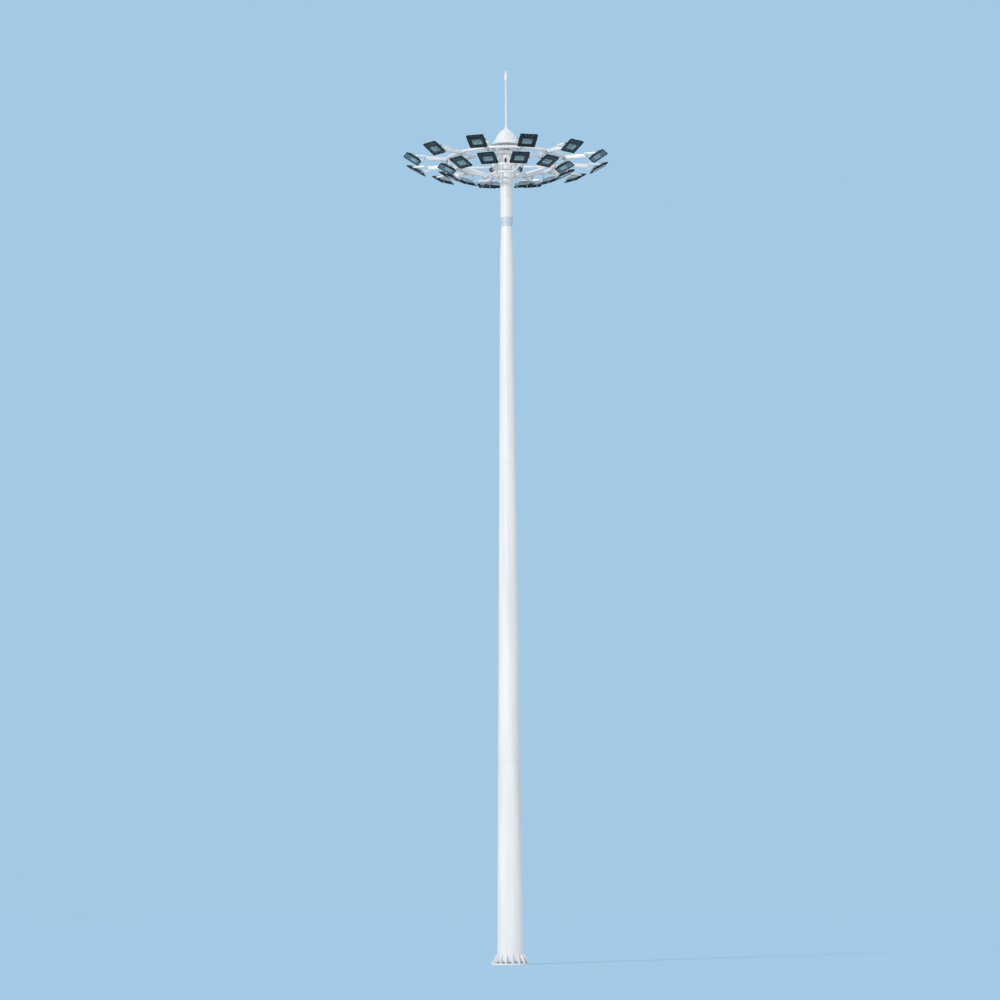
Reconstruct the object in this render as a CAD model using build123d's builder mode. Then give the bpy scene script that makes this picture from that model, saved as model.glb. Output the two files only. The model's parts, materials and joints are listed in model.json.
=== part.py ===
from build123d import *
import os
from math import cos, degrees, radians, sin

os.makedirs("parts", exist_ok=True)

# High mast floodlight tower, sizes in millimetres, +Z up.
# The origin is the centre of the base plate's underside.
# Turns are in degrees about the mast, from +X. The photograph's side is -Y.

# General fits
seat = 0.3

# Base plate
plate_radius = 590
plate_thickness = 40
bolt_circle = 1010
bolt_count = 16
bolt_hole = 42
cable_hole_radius = 150
gusset_height = 270
gusset_thickness = 16
gusset_edge = 30
gusset_margin = 30

# Mast, three tapered tubes that slip over each other
mast_base_radius = 407.5
mast_taper = 0.0095
lower_wall = 8
middle_wall = 7
upper_wall = 6
lower_slip_height = 6200
lower_slip_length = 1050
upper_slip_height = 15400
upper_slip_length = 850
neck_radius = 180
neck_cone_length = 950
neck_length = 700

# Access door, at the back of the lower tube
door_sill = 500
door_height = 1000
door_width = 280
door_frame_edge = 45
door_frame_thickness = 12
door_leaf_lap = 18
door_leaf_thickness = 6
hinge_radius = 11
hinge_length = 70
hinge_spread = 520

# Head sleeve, frame, sheaves and hood, all set from the height of the sheaves' pins
sheave_height = 25412
sleeve_wall = 15
sleeve_length = 2250
sleeve_gap = 150
head_plate_radius = 235
head_plate_thickness = 16
rope_count = 3
rope_turn = 90
rope_reach = 485
rope_radius = 6
rope_plate_height = 1000
rope_plate_radius = 110
rope_plate_thickness = 20
sheave_radius = 88
sheave_pitch = 80
sheave_width = 32
sheave_gap = 2
sheave_rise = 96
sheave_pin_radius = 14
inner_sheave_reach = 150
cheek_thickness = 8
cheek_height = 130
cheek_end = 545
hood_wall = 4
hood_gap = 78
hood_height = 590
hood_crown_radius = 40
hood_shoulder_radius = 245
hood_shoulder_height = 415
hood_waist_radius = 340
hood_waist_height = 245
hood_flare_radius = 430
hood_flare_height = 110
hood_rim_radius = 566
rod_socket_radius = 50
rod_socket_height = 60
rod_length = 1800
rod_radius = 32
rod_tip_radius = 52
rod_tip_length = 350
rod_point_radius = 26
rod_point_length = 120

# Lamp carriage, drawn at the top of its travel
inner_ring_radius = 1530
inner_ring_drop = 512
outer_ring_radius = 1889
ring_size = 80
tongue_thickness = 40
segment_count = 3
segment_turn = 90
flange_size = 110
flange_thickness = 10
arm_width = 60
arm_end = 2620
collar_inner_radius = 455
collar_width = 60
collar_height = 60
lower_collar_height = 50
collar_drop = 240
spoke_count = 6
spoke_width = 60
post_size = 50
brace_reach = 1260
brace_foot = 180
brace_width = 40
dock_count = 3
dock_turn = 0
dock_width = 40
dock_arm_gap = 80
dock_root_height = 300
dock_tip_height = 60
dock_foot_radius = 24
roller_count = 3
roller_turn = 30
roller_radius = 75
roller_width = 44
roller_gap = 4
roller_bite = 5
roller_pin_radius = 12
roller_cheek = 8
socket_radius = 20
socket_height = 45

# Floodlights and their yokes
lamp_count = 12
lamp_turn = 15
lamp_width = 554
lamp_height = 535
lamp_corner = 24
bezel_depth = 40
bezel_edge = 26
glass_thickness = 6
glass_inset = 8
housing_front_width = 520
housing_front_height = 500
housing_back_width = 330
housing_back_height = 270
housing_depth = 95
housing_wall = 5
housing_corner = 40
rib_count = 5
rib_thickness = 6
rib_depth = 15
rib_pitch = 55
rib_length = 220
pivot_depth = 75
pad_height = 60
pad_depth = 44
lamp_side_gap = 14
yoke_thickness = 8
yoke_width = 50
yoke_tip = 30
outer_lamp_radius = 2980
outer_lamp_aim = 60
inner_lamp_drop = 285
inner_lamp_aim = 65

# Heights and radii that follow from the sizes above
past_mast = 2 * mast_base_radius
head_plate_top = sheave_height - sheave_rise
sleeve_end = head_plate_top - head_plate_thickness
sleeve_start = sleeve_end - sleeve_length
neck_end = sleeve_start - sleeve_gap
neck_start = neck_end - neck_cone_length
hood_rim = sheave_height + hood_gap
hood_top = hood_rim + hood_height
rod_start = hood_top + rod_socket_height
rod_top = rod_start + rod_length
inner_ring_height = sheave_height - inner_ring_drop
tongue_bottom = inner_ring_height + ring_size / 2
tongue_top = tongue_bottom + tongue_thickness
outer_ring_height = tongue_top + ring_size / 2
arm_top = tongue_top + ring_size
arm_centre = (tongue_bottom + arm_top) / 2
spoke_top = inner_ring_height - ring_size / 2
spoke_bottom = spoke_top - collar_height
collar_outer_radius = collar_inner_radius + collar_width
collar_centre_radius = collar_inner_radius + collar_width / 2
lower_collar_top = spoke_bottom - collar_drop + lower_collar_height
lower_collar_bottom = spoke_bottom - collar_drop
sleeve_inner_radius = neck_radius + seat
sleeve_outer_radius = sleeve_inner_radius + sleeve_wall
outer_lamp_height = arm_centre
inner_lamp_radius = outer_ring_radius
inner_lamp_height = outer_ring_height - inner_lamp_drop


def lower_radius(height):
    return mast_base_radius - mast_taper * height


def middle_radius(height):
    return lower_radius(height) + seat + middle_wall


def upper_radius(height):
    return middle_radius(height) + seat + upper_wall


def radial_plane(turn):
    # the upright plane through the mast's axis at that turn, X outwards and Y up
    angle = radians(turn)
    return Plane(
        origin=(0, 0, 0),
        x_dir=(cos(angle), sin(angle), 0),
        z_dir=(sin(angle), -cos(angle), 0),
    )


def lamp_place(radius, height, turn, aim):
    # X along the lamp's pivot, Z along its beam, aim degrees below level
    angle = radians(turn)
    tilt = radians(aim)
    return Plane(
        origin=(radius * cos(angle), radius * sin(angle), height),
        x_dir=(-sin(angle), cos(angle), 0),
        z_dir=(cos(tilt) * cos(angle), cos(tilt) * sin(angle), -sin(tilt)),
    )


# Base plate with its bolt circle and the opening that the cables come in by
with BuildPart() as base_plate:
    with BuildSketch():
        Circle(plate_radius)
        Circle(cable_hole_radius, mode=Mode.SUBTRACT)
    extrude(amount=plate_thickness)
    with PolarLocations(bolt_circle / 2, bolt_count):
        Hole(bolt_hole / 2)
base_plate.part.label = "base_plate"
export_step(base_plate.part, "parts/base_plate.step")

# One gusset, its inner edge along the mast's taper, then one between each pair of bolts
with BuildPart() as gusset:
    with BuildSketch(Plane.XZ):
        with BuildLine():
            Polyline(
                (lower_radius(plate_thickness) + seat, plate_thickness),
                (plate_radius - gusset_margin, plate_thickness),
                (plate_radius - gusset_margin, plate_thickness + gusset_edge),
                (lower_radius(gusset_height) + seat + gusset_edge, gusset_height + plate_thickness),
                (lower_radius(gusset_height) + seat, gusset_height + plate_thickness),
                close=True,
            )
        make_face()
    extrude(amount=gusset_thickness / 2, both=True)

with BuildPart() as base_gussets:
    with PolarLocations(0, bolt_count, start_angle=180 / bolt_count):
        add(gusset.part)
base_gussets.part.label = "base_gussets"
export_step(base_gussets.part, "parts/base_gussets.step")

# Lower tube, with the door opening cut through its back
door_centre = door_sill + door_height / 2
door_plane = Plane(origin=(0, 0, door_centre), x_dir=(-1, 0, 0), z_dir=(0, 1, 0))
lower_top = lower_slip_height + lower_slip_length
with BuildPart() as mast_lower:
    with BuildSketch(Plane.XZ):
        with BuildLine():
            Polyline(
                (lower_radius(plate_thickness) - lower_wall, plate_thickness),
                (lower_radius(plate_thickness), plate_thickness),
                (lower_radius(lower_top), lower_top),
                (lower_radius(lower_top) - lower_wall, lower_top),
                close=True,
            )
        make_face()
    revolve(axis=Axis.Z)
    with BuildSketch(door_plane):
        SlotOverall(door_height, door_width, rotation=90)
    extrude(amount=past_mast, mode=Mode.SUBTRACT)
mast_lower.part.label = "mast_lower"
export_step(mast_lower.part, "parts/mast_lower.step")

# Middle tube, slipped over the lower one
middle_top = upper_slip_height + upper_slip_length
with BuildPart() as mast_middle:
    with BuildSketch(Plane.XZ):
        with BuildLine():
            Polyline(
                (middle_radius(lower_slip_height) - middle_wall, lower_slip_height),
                (middle_radius(lower_slip_height), lower_slip_height),
                (middle_radius(middle_top), middle_top),
                (middle_radius(middle_top) - middle_wall, middle_top),
                close=True,
            )
        make_face()
    revolve(axis=Axis.Z)
mast_middle.part.label = "mast_middle"
export_step(mast_middle.part, "parts/mast_middle.step")

# Upper tube, slipped over the middle one, with the neck that the head sleeve stands on
neck_top = neck_end + neck_length
with BuildPart() as mast_upper:
    with BuildSketch(Plane.XZ):
        with BuildLine():
            Polyline(
                (upper_radius(upper_slip_height) - upper_wall, upper_slip_height),
                (upper_radius(upper_slip_height), upper_slip_height),
                (upper_radius(neck_start), neck_start),
                (neck_radius, neck_end),
                (neck_radius, neck_top),
                (neck_radius - upper_wall, neck_top),
                (neck_radius - upper_wall, neck_end),
                (upper_radius(neck_start) - upper_wall, neck_start),
                close=True,
            )
        make_face()
    revolve(axis=Axis.Z)
mast_upper.part.label = "mast_upper"
export_step(mast_upper.part, "parts/mast_upper.step")

# Door frame, curved with the mast, with the hinge barrels at its side
hinge_reach = door_width / 2 + door_leaf_lap + hinge_radius + seat
frame_face_radius = lower_radius(door_centre) + door_frame_thickness
hinge_depth = (frame_face_radius**2 - hinge_reach**2) ** 0.5 + hinge_radius / 2
band_bottom = door_sill - door_width
band_top = door_sill + door_height + door_width
with BuildPart() as door_frame:
    with BuildSketch(Plane.XZ):
        with BuildLine():
            Polyline(
                (lower_radius(band_bottom) + seat, band_bottom),
                (lower_radius(band_bottom) + door_frame_thickness, band_bottom),
                (lower_radius(band_top) + door_frame_thickness, band_top),
                (lower_radius(band_top) + seat, band_top),
                close=True,
            )
        make_face()
    revolve(axis=Axis.Z)
    with BuildSketch(door_plane):
        SlotOverall(door_height + 2 * door_frame_edge, door_width + 2 * door_frame_edge, rotation=90)
        SlotOverall(door_height, door_width, rotation=90, mode=Mode.SUBTRACT)
    extrude(amount=past_mast, mode=Mode.INTERSECT)
    with Locations(
        (hinge_reach, hinge_depth, door_centre - hinge_spread / 2),
        (hinge_reach, hinge_depth, door_centre + hinge_spread / 2),
    ):
        Cylinder(hinge_radius, hinge_length)
door_frame.part.label = "door_frame"
export_step(door_frame.part, "parts/door_frame.step")

# Door leaf, lying on its frame
leaf_inner = door_frame_thickness + seat
leaf_outer = leaf_inner + door_leaf_thickness
with BuildPart() as access_door:
    with BuildSketch(Plane.XZ):
        with BuildLine():
            Polyline(
                (lower_radius(band_bottom) + leaf_inner, band_bottom),
                (lower_radius(band_bottom) + leaf_outer, band_bottom),
                (lower_radius(band_top) + leaf_outer, band_top),
                (lower_radius(band_top) + leaf_inner, band_top),
                close=True,
            )
        make_face()
    revolve(axis=Axis.Z)
    with BuildSketch(door_plane):
        SlotOverall(door_height + 2 * door_leaf_lap, door_width + 2 * door_leaf_lap, rotation=90)
    extrude(amount=past_mast, mode=Mode.INTERSECT)
access_door.part.label = "access_door"
export_step(access_door.part, "parts/access_door.step")

# Head sleeve, standing over the mast's neck, closed by the head plate
with BuildPart() as head_sleeve:
    with BuildSketch(Plane.XY.offset(sleeve_start)):
        Circle(sleeve_outer_radius)
        Circle(sleeve_inner_radius, mode=Mode.SUBTRACT)
    extrude(amount=sleeve_end - sleeve_start)
head_sleeve.part.label = "head_sleeve"
export_step(head_sleeve.part, "parts/head_sleeve.step")

# Head frame: the plate on the sleeve and three pairs of cheeks for the sheaves
outer_sheave_reach = rope_reach - sheave_pitch
inner_rope_reach = inner_sheave_reach - sheave_pitch
cheek_inner_face = sheave_width / 2 + sheave_gap
with BuildPart() as cheek_pair:
    with BuildSketch(Plane.XZ.offset(-cheek_inner_face - cheek_thickness)):
        with BuildLine():
            Polyline(
                (inner_sheave_reach - sheave_radius / 2, head_plate_top),
                (head_plate_radius - gusset_edge, head_plate_top),
                (outer_sheave_reach + sheave_radius / 2, sheave_height - sheave_pin_radius * 2),
                (cheek_end, sheave_height),
                (cheek_end, head_plate_top + cheek_height),
                (inner_sheave_reach - sheave_radius / 2, head_plate_top + cheek_height),
                close=True,
            )
        make_face()
    extrude(amount=cheek_thickness)
    mirror(about=Plane.XZ)
    with Locations(
        Location((outer_sheave_reach, 0, sheave_height), (90, 0, 0)),
        Location((inner_sheave_reach, 0, sheave_height), (90, 0, 0)),
    ):
        Cylinder(sheave_pin_radius, 2 * (cheek_inner_face + cheek_thickness))

with BuildPart() as head_frame:
    with BuildSketch(Plane.XY.offset(sleeve_end)):
        Circle(head_plate_radius)
        with PolarLocations(inner_rope_reach, rope_count, start_angle=rope_turn):
            Circle(rope_radius * 2, mode=Mode.SUBTRACT)
    extrude(amount=head_plate_thickness)
    with PolarLocations(0, rope_count, start_angle=rope_turn):
        add(cheek_pair.part)
head_frame.part.label = "head_frame"
export_step(head_frame.part, "parts/head_frame.step")

# Grooved sheave, turned about its pin
groove_root = sheave_pitch - rope_radius - seat
with BuildPart() as sheave:
    with BuildSketch(Plane.XZ):
        with BuildLine():
            Polyline(
                (sheave_pin_radius + seat, -sheave_width / 2),
                (sheave_radius, -sheave_width / 2),
                (groove_root, -rope_radius - seat),
                (groove_root, rope_radius + seat),
                (sheave_radius, sheave_width / 2),
                (sheave_pin_radius + seat, sheave_width / 2),
                close=True,
            )
        make_face()
    revolve(axis=Axis.Z)

with BuildPart() as sheave_pair:
    with Locations(
        Location((outer_sheave_reach, 0, sheave_height), (90, 0, 0)),
        Location((inner_sheave_reach, 0, sheave_height), (90, 0, 0)),
    ):
        add(sheave.part)

with BuildPart() as head_sheaves:
    with PolarLocations(0, rope_count, start_angle=rope_turn):
        add(sheave_pair.part)
head_sheaves.part.label = "head_sheaves"
export_step(head_sheaves.part, "parts/head_sheaves.step")


def hood_skin(base):
    # one side of the bell: a full shoulder from the crown to the waist, then the flare down to the rim
    waist = (hood_waist_radius, base + hood_waist_height)
    shoulder = (hood_shoulder_radius, base + hood_shoulder_height)
    flare = (hood_flare_radius, base + hood_flare_height)
    ThreePointArc((hood_crown_radius, base + hood_height), shoulder, waist)
    ThreePointArc(waist, flare, (hood_rim_radius, base))


# Rain hood, a thin bell over the sheaves
with BuildPart() as rain_hood:
    with BuildSketch(Plane.XZ):
        with BuildLine():
            hood_skin(hood_rim)
            hood_skin(hood_rim - hood_wall)
            Line((hood_crown_radius, hood_top), (hood_crown_radius, hood_top - hood_wall))
            Line((hood_rim_radius, hood_rim), (hood_rim_radius, hood_rim - hood_wall))
        make_face()
    revolve(axis=Axis.Z)
rain_hood.part.label = "rain_hood"
export_step(rain_hood.part, "parts/rain_hood.step")

# Centre post that carries the hood and the rod
with BuildPart() as hood_post:
    with BuildSketch(Plane.XY.offset(head_plate_top)):
        Circle(hood_crown_radius - seat)
    extrude(amount=hood_top - head_plate_top)
    with BuildSketch(Plane.XZ):
        with BuildLine():
            Polyline(
                (0, hood_top + seat),
                (rod_socket_radius, hood_top + seat),
                (rod_socket_radius, hood_top + rod_socket_height / 2),
                (rod_radius + seat, hood_top + rod_socket_height),
                (0, hood_top + rod_socket_height),
                close=True,
            )
        make_face()
    revolve(axis=Axis.Z)
    with BuildSketch(Plane.XY.offset(hood_top)):
        Circle(hood_crown_radius - seat)
    extrude(amount=seat)
hood_post.part.label = "hood_post"
export_step(hood_post.part, "parts/hood_post.step")

# Lightning rod with its thicker pointed tip
tip_start = rod_top - rod_tip_length
with BuildPart() as lightning_rod:
    with BuildSketch(Plane.XZ):
        with BuildLine():
            Polyline(
                (0, rod_start),
                (rod_radius, rod_start),
                (rod_radius, tip_start),
                (rod_tip_radius, tip_start + rod_tip_radius),
                (rod_tip_radius, rod_top - rod_point_length),
                (rod_point_radius, rod_top - rod_point_radius),
                (0, rod_top),
                close=True,
            )
        make_face()
    revolve(axis=Axis.Z)
lightning_rod.part.label = "lightning_rod"
export_step(lightning_rod.part, "parts/lightning_rod.step")

# Docking arms on the sleeve, each with a foot that the raised carriage bears against
with BuildPart() as docking_arm:
    with BuildSketch(Plane.XZ):
        with BuildLine():
            Polyline(
                (sleeve_outer_radius + seat, spoke_top + dock_arm_gap),
                (collar_outer_radius, spoke_top + dock_arm_gap),
                (collar_outer_radius, spoke_top + dock_arm_gap + dock_tip_height),
                (sleeve_outer_radius + seat, spoke_top + dock_arm_gap + dock_root_height),
                close=True,
            )
        make_face()
    extrude(amount=dock_width / 2, both=True)
    with BuildSketch(Plane.XY.offset(spoke_top + seat)):
        with Locations((collar_centre_radius, 0)):
            Circle(dock_foot_radius)
    extrude(amount=dock_arm_gap - seat)

with BuildPart() as docking_arms:
    with PolarLocations(0, dock_count, start_angle=dock_turn):
        add(docking_arm.part)
docking_arms.part.label = "docking_arms"
export_step(docking_arms.part, "parts/docking_arms.step")

# Hoist ropes, taut from the outer sheaves to their sockets on the carriage
rope_bottom = spoke_top + socket_height
with BuildPart() as hoist_ropes:
    with BuildSketch(Plane.XY.offset(rope_bottom)):
        with PolarLocations(rope_reach, rope_count, start_angle=rope_turn):
            Circle(rope_radius)
    extrude(amount=sheave_height - rope_bottom)
hoist_ropes.part.label = "hoist_ropes"
export_step(hoist_ropes.part, "parts/hoist_ropes.step")

# The same ropes on the mast's side, over both sheaves and down the inside of the mast
rope_crown = sheave_height + sheave_pitch
rope_foot = rope_plate_height + rope_plate_thickness
inner_sheave_pin = Axis((inner_sheave_reach, 0, sheave_height), (0, 1, 0))
outer_sheave_pin = Axis((outer_sheave_reach, 0, sheave_height), (0, -1, 0))
with BuildPart() as inner_rope:
    with BuildSketch(Plane.XY.offset(rope_foot)):
        with Locations((inner_rope_reach, 0)):
            Circle(rope_radius)
    extrude(amount=sheave_height - rope_foot)
    with BuildSketch(Plane.XY.offset(sheave_height)):
        with Locations((inner_rope_reach, 0)):
            Circle(rope_radius)
    revolve(axis=inner_sheave_pin, revolution_arc=90)
    with BuildSketch(Plane.YZ.offset(inner_sheave_reach)):
        with Locations((0, rope_crown)):
            Circle(rope_radius)
    extrude(amount=outer_sheave_reach - inner_sheave_reach)
    with BuildSketch(Plane.XY.offset(sheave_height)):
        with Locations((rope_reach, 0)):
            Circle(rope_radius)
    revolve(axis=outer_sheave_pin, revolution_arc=90)

with BuildPart() as inner_ropes:
    with PolarLocations(0, rope_count, start_angle=rope_turn):
        add(inner_rope.part)
inner_ropes.part.label = "inner_ropes"
export_step(inner_ropes.part, "parts/inner_ropes.step")

# Plate that the three ropes are made fast to, low in the mast while the carriage is up
with BuildPart() as rope_plate:
    with BuildSketch(Plane.XY.offset(rope_plate_height)):
        Circle(rope_plate_radius)
    extrude(amount=rope_plate_thickness)
rope_plate.part.label = "rope_plate"
export_step(rope_plate.part, "parts/rope_plate.step")

# Hub collars round the mast and the sockets that the ropes end in
with BuildPart() as hub_collars:
    with BuildSketch(Plane.XY.offset(spoke_bottom)):
        Circle(collar_outer_radius)
        Circle(collar_inner_radius, mode=Mode.SUBTRACT)
    extrude(amount=collar_height)
    with BuildSketch(Plane.XY.offset(lower_collar_bottom)):
        Circle(collar_outer_radius)
        Circle(collar_inner_radius, mode=Mode.SUBTRACT)
    extrude(amount=lower_collar_height)
    with BuildSketch(Plane.XY.offset(spoke_top)):
        with PolarLocations(rope_reach, rope_count, start_angle=rope_turn):
            Circle(socket_radius)
    extrude(amount=socket_height)
hub_collars.part.label = "hub_collars"
export_step(hub_collars.part, "parts/hub_collars.step")

# Posts between the two collars
with BuildPart() as hub_posts:
    with BuildSketch(Plane.XY.offset(lower_collar_top)):
        with PolarLocations(collar_centre_radius, spoke_count):
            Rectangle(post_size, post_size)
    extrude(amount=spoke_bottom - lower_collar_top)
hub_posts.part.label = "hub_posts"
export_step(hub_posts.part, "parts/hub_posts.step")

# Spokes under the inner ring, and the braces below them
spoke_end = inner_ring_radius + ring_size / 2
spoke_start = collar_outer_radius + seat
with BuildPart() as spokes:
    with BuildSketch(Plane.XY.offset(spoke_bottom)):
        with PolarLocations((spoke_start + spoke_end) / 2, spoke_count):
            Rectangle(spoke_end - spoke_start, spoke_width)
    extrude(amount=collar_height)
spokes.part.label = "spokes"
export_step(spokes.part, "parts/spokes.step")

with BuildPart() as brace:
    with BuildSketch(Plane.XZ):
        with BuildLine():
            Polyline(
                (spoke_start, lower_collar_bottom),
                (brace_reach, spoke_bottom),
                (brace_reach - brace_foot, spoke_bottom),
                (spoke_start, lower_collar_top),
                close=True,
            )
        make_face()
    extrude(amount=brace_width / 2, both=True)

with BuildPart() as spoke_braces:
    with PolarLocations(0, spoke_count):
        add(brace.part)
spoke_braces.part.label = "spoke_braces"
export_step(spoke_braces.part, "parts/spoke_braces.step")

# Guide rollers on the collars, which keep the carriage off the mast
roller_reach = collar_inner_radius - roller_bite + roller_radius
roller_cheek_face = roller_width / 2 + roller_gap
with BuildPart() as roller_bracket:
    with BuildSketch(Plane.XZ.offset(-roller_cheek_face - roller_cheek)):
        with BuildLine():
            Polyline(
                (collar_inner_radius, 0),
                (collar_outer_radius, 0),
                (roller_reach + 2 * roller_pin_radius, roller_radius + roller_gap),
                (roller_reach + 2 * roller_pin_radius, roller_radius + 3 * roller_pin_radius),
                (roller_reach - 2 * roller_pin_radius, roller_radius + 3 * roller_pin_radius),
                (collar_inner_radius, roller_radius / 2),
                close=True,
            )
        make_face()
    extrude(amount=roller_cheek)
    mirror(about=Plane.XZ)
    with Locations(Location((roller_reach, 0, roller_radius + roller_gap), (90, 0, 0))):
        Cylinder(roller_pin_radius, 2 * (roller_cheek_face + roller_cheek))

with BuildPart() as roller:
    with BuildSketch(Plane.XZ):
        with BuildLine():
            Polyline(
                (roller_pin_radius + seat, -roller_width / 2),
                (roller_radius - roller_gap, -roller_width / 2),
                (roller_radius, 0),
                (roller_radius - roller_gap, roller_width / 2),
                (roller_pin_radius + seat, roller_width / 2),
                close=True,
            )
        make_face()
    revolve(axis=Axis.Z)

with BuildPart() as upper_bracket:
    with Locations((0, 0, spoke_top)):
        add(roller_bracket.part)

with BuildPart() as lower_bracket:
    with Locations((0, 0, lower_collar_top)):
        add(roller_bracket.part)

with BuildPart() as guide_brackets:
    with PolarLocations(0, roller_count, start_angle=roller_turn):
        add(upper_bracket.part)
    with PolarLocations(0, roller_count, start_angle=roller_turn + 180 / roller_count):
        add(lower_bracket.part)
guide_brackets.part.label = "guide_brackets"
export_step(guide_brackets.part, "parts/guide_brackets.step")

roller_rise = roller_radius + roller_gap
with BuildPart() as upper_roller:
    with Locations(Location((roller_reach, 0, spoke_top + roller_rise), (90, 0, 0))):
        add(roller.part)

with BuildPart() as lower_roller:
    with Locations(Location((roller_reach, 0, lower_collar_top + roller_rise), (90, 0, 0))):
        add(roller.part)

with BuildPart() as guide_rollers:
    with PolarLocations(0, roller_count, start_angle=roller_turn):
        add(upper_roller.part)
    with PolarLocations(0, roller_count, start_angle=roller_turn + 180 / roller_count):
        add(lower_roller.part)
guide_rollers.part.label = "guide_rollers"
export_step(guide_rollers.part, "parts/guide_rollers.step")


def ring_segments(ring_radius, ring_height):
    # square tube bent to the ring in equal segments, each end halfway into its bolting flange
    half_turn = 180 / segment_count
    tube_turn = half_turn - degrees(flange_thickness / 2 / ring_radius)
    half_gap = Plane(
        origin=radial_plane(half_turn).origin + radial_plane(half_turn).z_dir * seat / 2,
        x_dir=radial_plane(half_turn).x_dir,
        z_dir=radial_plane(half_turn).z_dir,
    )
    with BuildPart() as segment:
        with BuildSketch(Plane.XZ):
            with Locations((ring_radius, ring_height)):
                Rectangle(ring_size, ring_size)
        revolve(axis=Axis.Z, revolution_arc=tube_turn)
        with BuildSketch(half_gap):
            with Locations((ring_radius, ring_height)):
                Rectangle(flange_size, flange_size)
        extrude(amount=flange_thickness)
        mirror(about=Plane.XZ)
    with BuildPart() as ring:
        with PolarLocations(0, segment_count, start_angle=segment_turn):
            add(segment.part)
    return ring


inner_ring = ring_segments(inner_ring_radius, inner_ring_height)
inner_ring.part.label = "inner_ring"
export_step(inner_ring.part, "parts/inner_ring.step")

outer_ring = ring_segments(outer_ring_radius, outer_ring_height)
outer_ring.part.label = "outer_ring"
export_step(outer_ring.part, "parts/outer_ring.step")

# Lamp arms: a tongue clamped between the two rings, then the full depth out to the yoke
with BuildPart() as lamp_arm:
    with BuildSketch(Plane.XZ):
        with BuildLine():
            Polyline(
                (inner_ring_radius - ring_size / 2, tongue_bottom),
                (arm_end, tongue_bottom),
                (arm_end, arm_top),
                (outer_ring_radius + ring_size / 2 + seat, arm_top),
                (outer_ring_radius + ring_size / 2 + seat, tongue_top),
                (inner_ring_radius - ring_size / 2, tongue_top),
                close=True,
            )
        make_face()
    extrude(amount=arm_width / 2, both=True)

with BuildPart() as lamp_arms:
    with PolarLocations(0, lamp_count, start_angle=lamp_turn):
        add(lamp_arm.part)
lamp_arms.part.label = "lamp_arms"
export_step(lamp_arms.part, "parts/lamp_arms.step")

yoke_inner_face = lamp_width / 2 + lamp_side_gap
yoke_outer_face = yoke_inner_face + yoke_thickness


def yoke(reach):
    # flat bar bent to a U, its pivot holes on the X axis and its back at the reach
    with BuildPart() as bar:
        with BuildSketch(Plane.XZ):
            Rectangle(2 * yoke_outer_face, reach + yoke_tip, align=(Align.CENTER, Align.MIN))
            Rectangle(
                2 * yoke_inner_face,
                reach + yoke_tip - yoke_thickness,
                align=(Align.CENTER, Align.MIN),
                mode=Mode.SUBTRACT,
            )
        extrude(amount=yoke_width / 2, both=True)
        chamfer(bar.edges().filter_by(Axis.X).group_by(Axis.Z)[0], yoke_width / 4)
    return bar.part.moved(Location((0, 0, -yoke_tip)))


with BuildPart() as outer_yoke:
    with Locations(Location((outer_lamp_radius, 0, outer_lamp_height), (0, -90, 0))):
        with Locations(Location((0, 0, 0), (0, 0, 90))):
            add(yoke(outer_lamp_radius - arm_end))

with BuildPart() as inner_yoke:
    with Locations(Location((inner_lamp_radius, 0, inner_lamp_height), (0, 0, 90))):
        add(yoke(tongue_bottom - inner_lamp_height))

with BuildPart() as outer_yokes:
    with PolarLocations(0, lamp_count, start_angle=lamp_turn):
        add(outer_yoke.part)
outer_yokes.part.label = "outer_yokes"
export_step(outer_yokes.part, "parts/outer_yokes.step")

with BuildPart() as inner_yokes:
    with PolarLocations(0, lamp_count, start_angle=lamp_turn):
        add(inner_yoke.part)
inner_yokes.part.label = "inner_yokes"
export_step(inner_yokes.part, "parts/inner_yokes.step")

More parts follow.
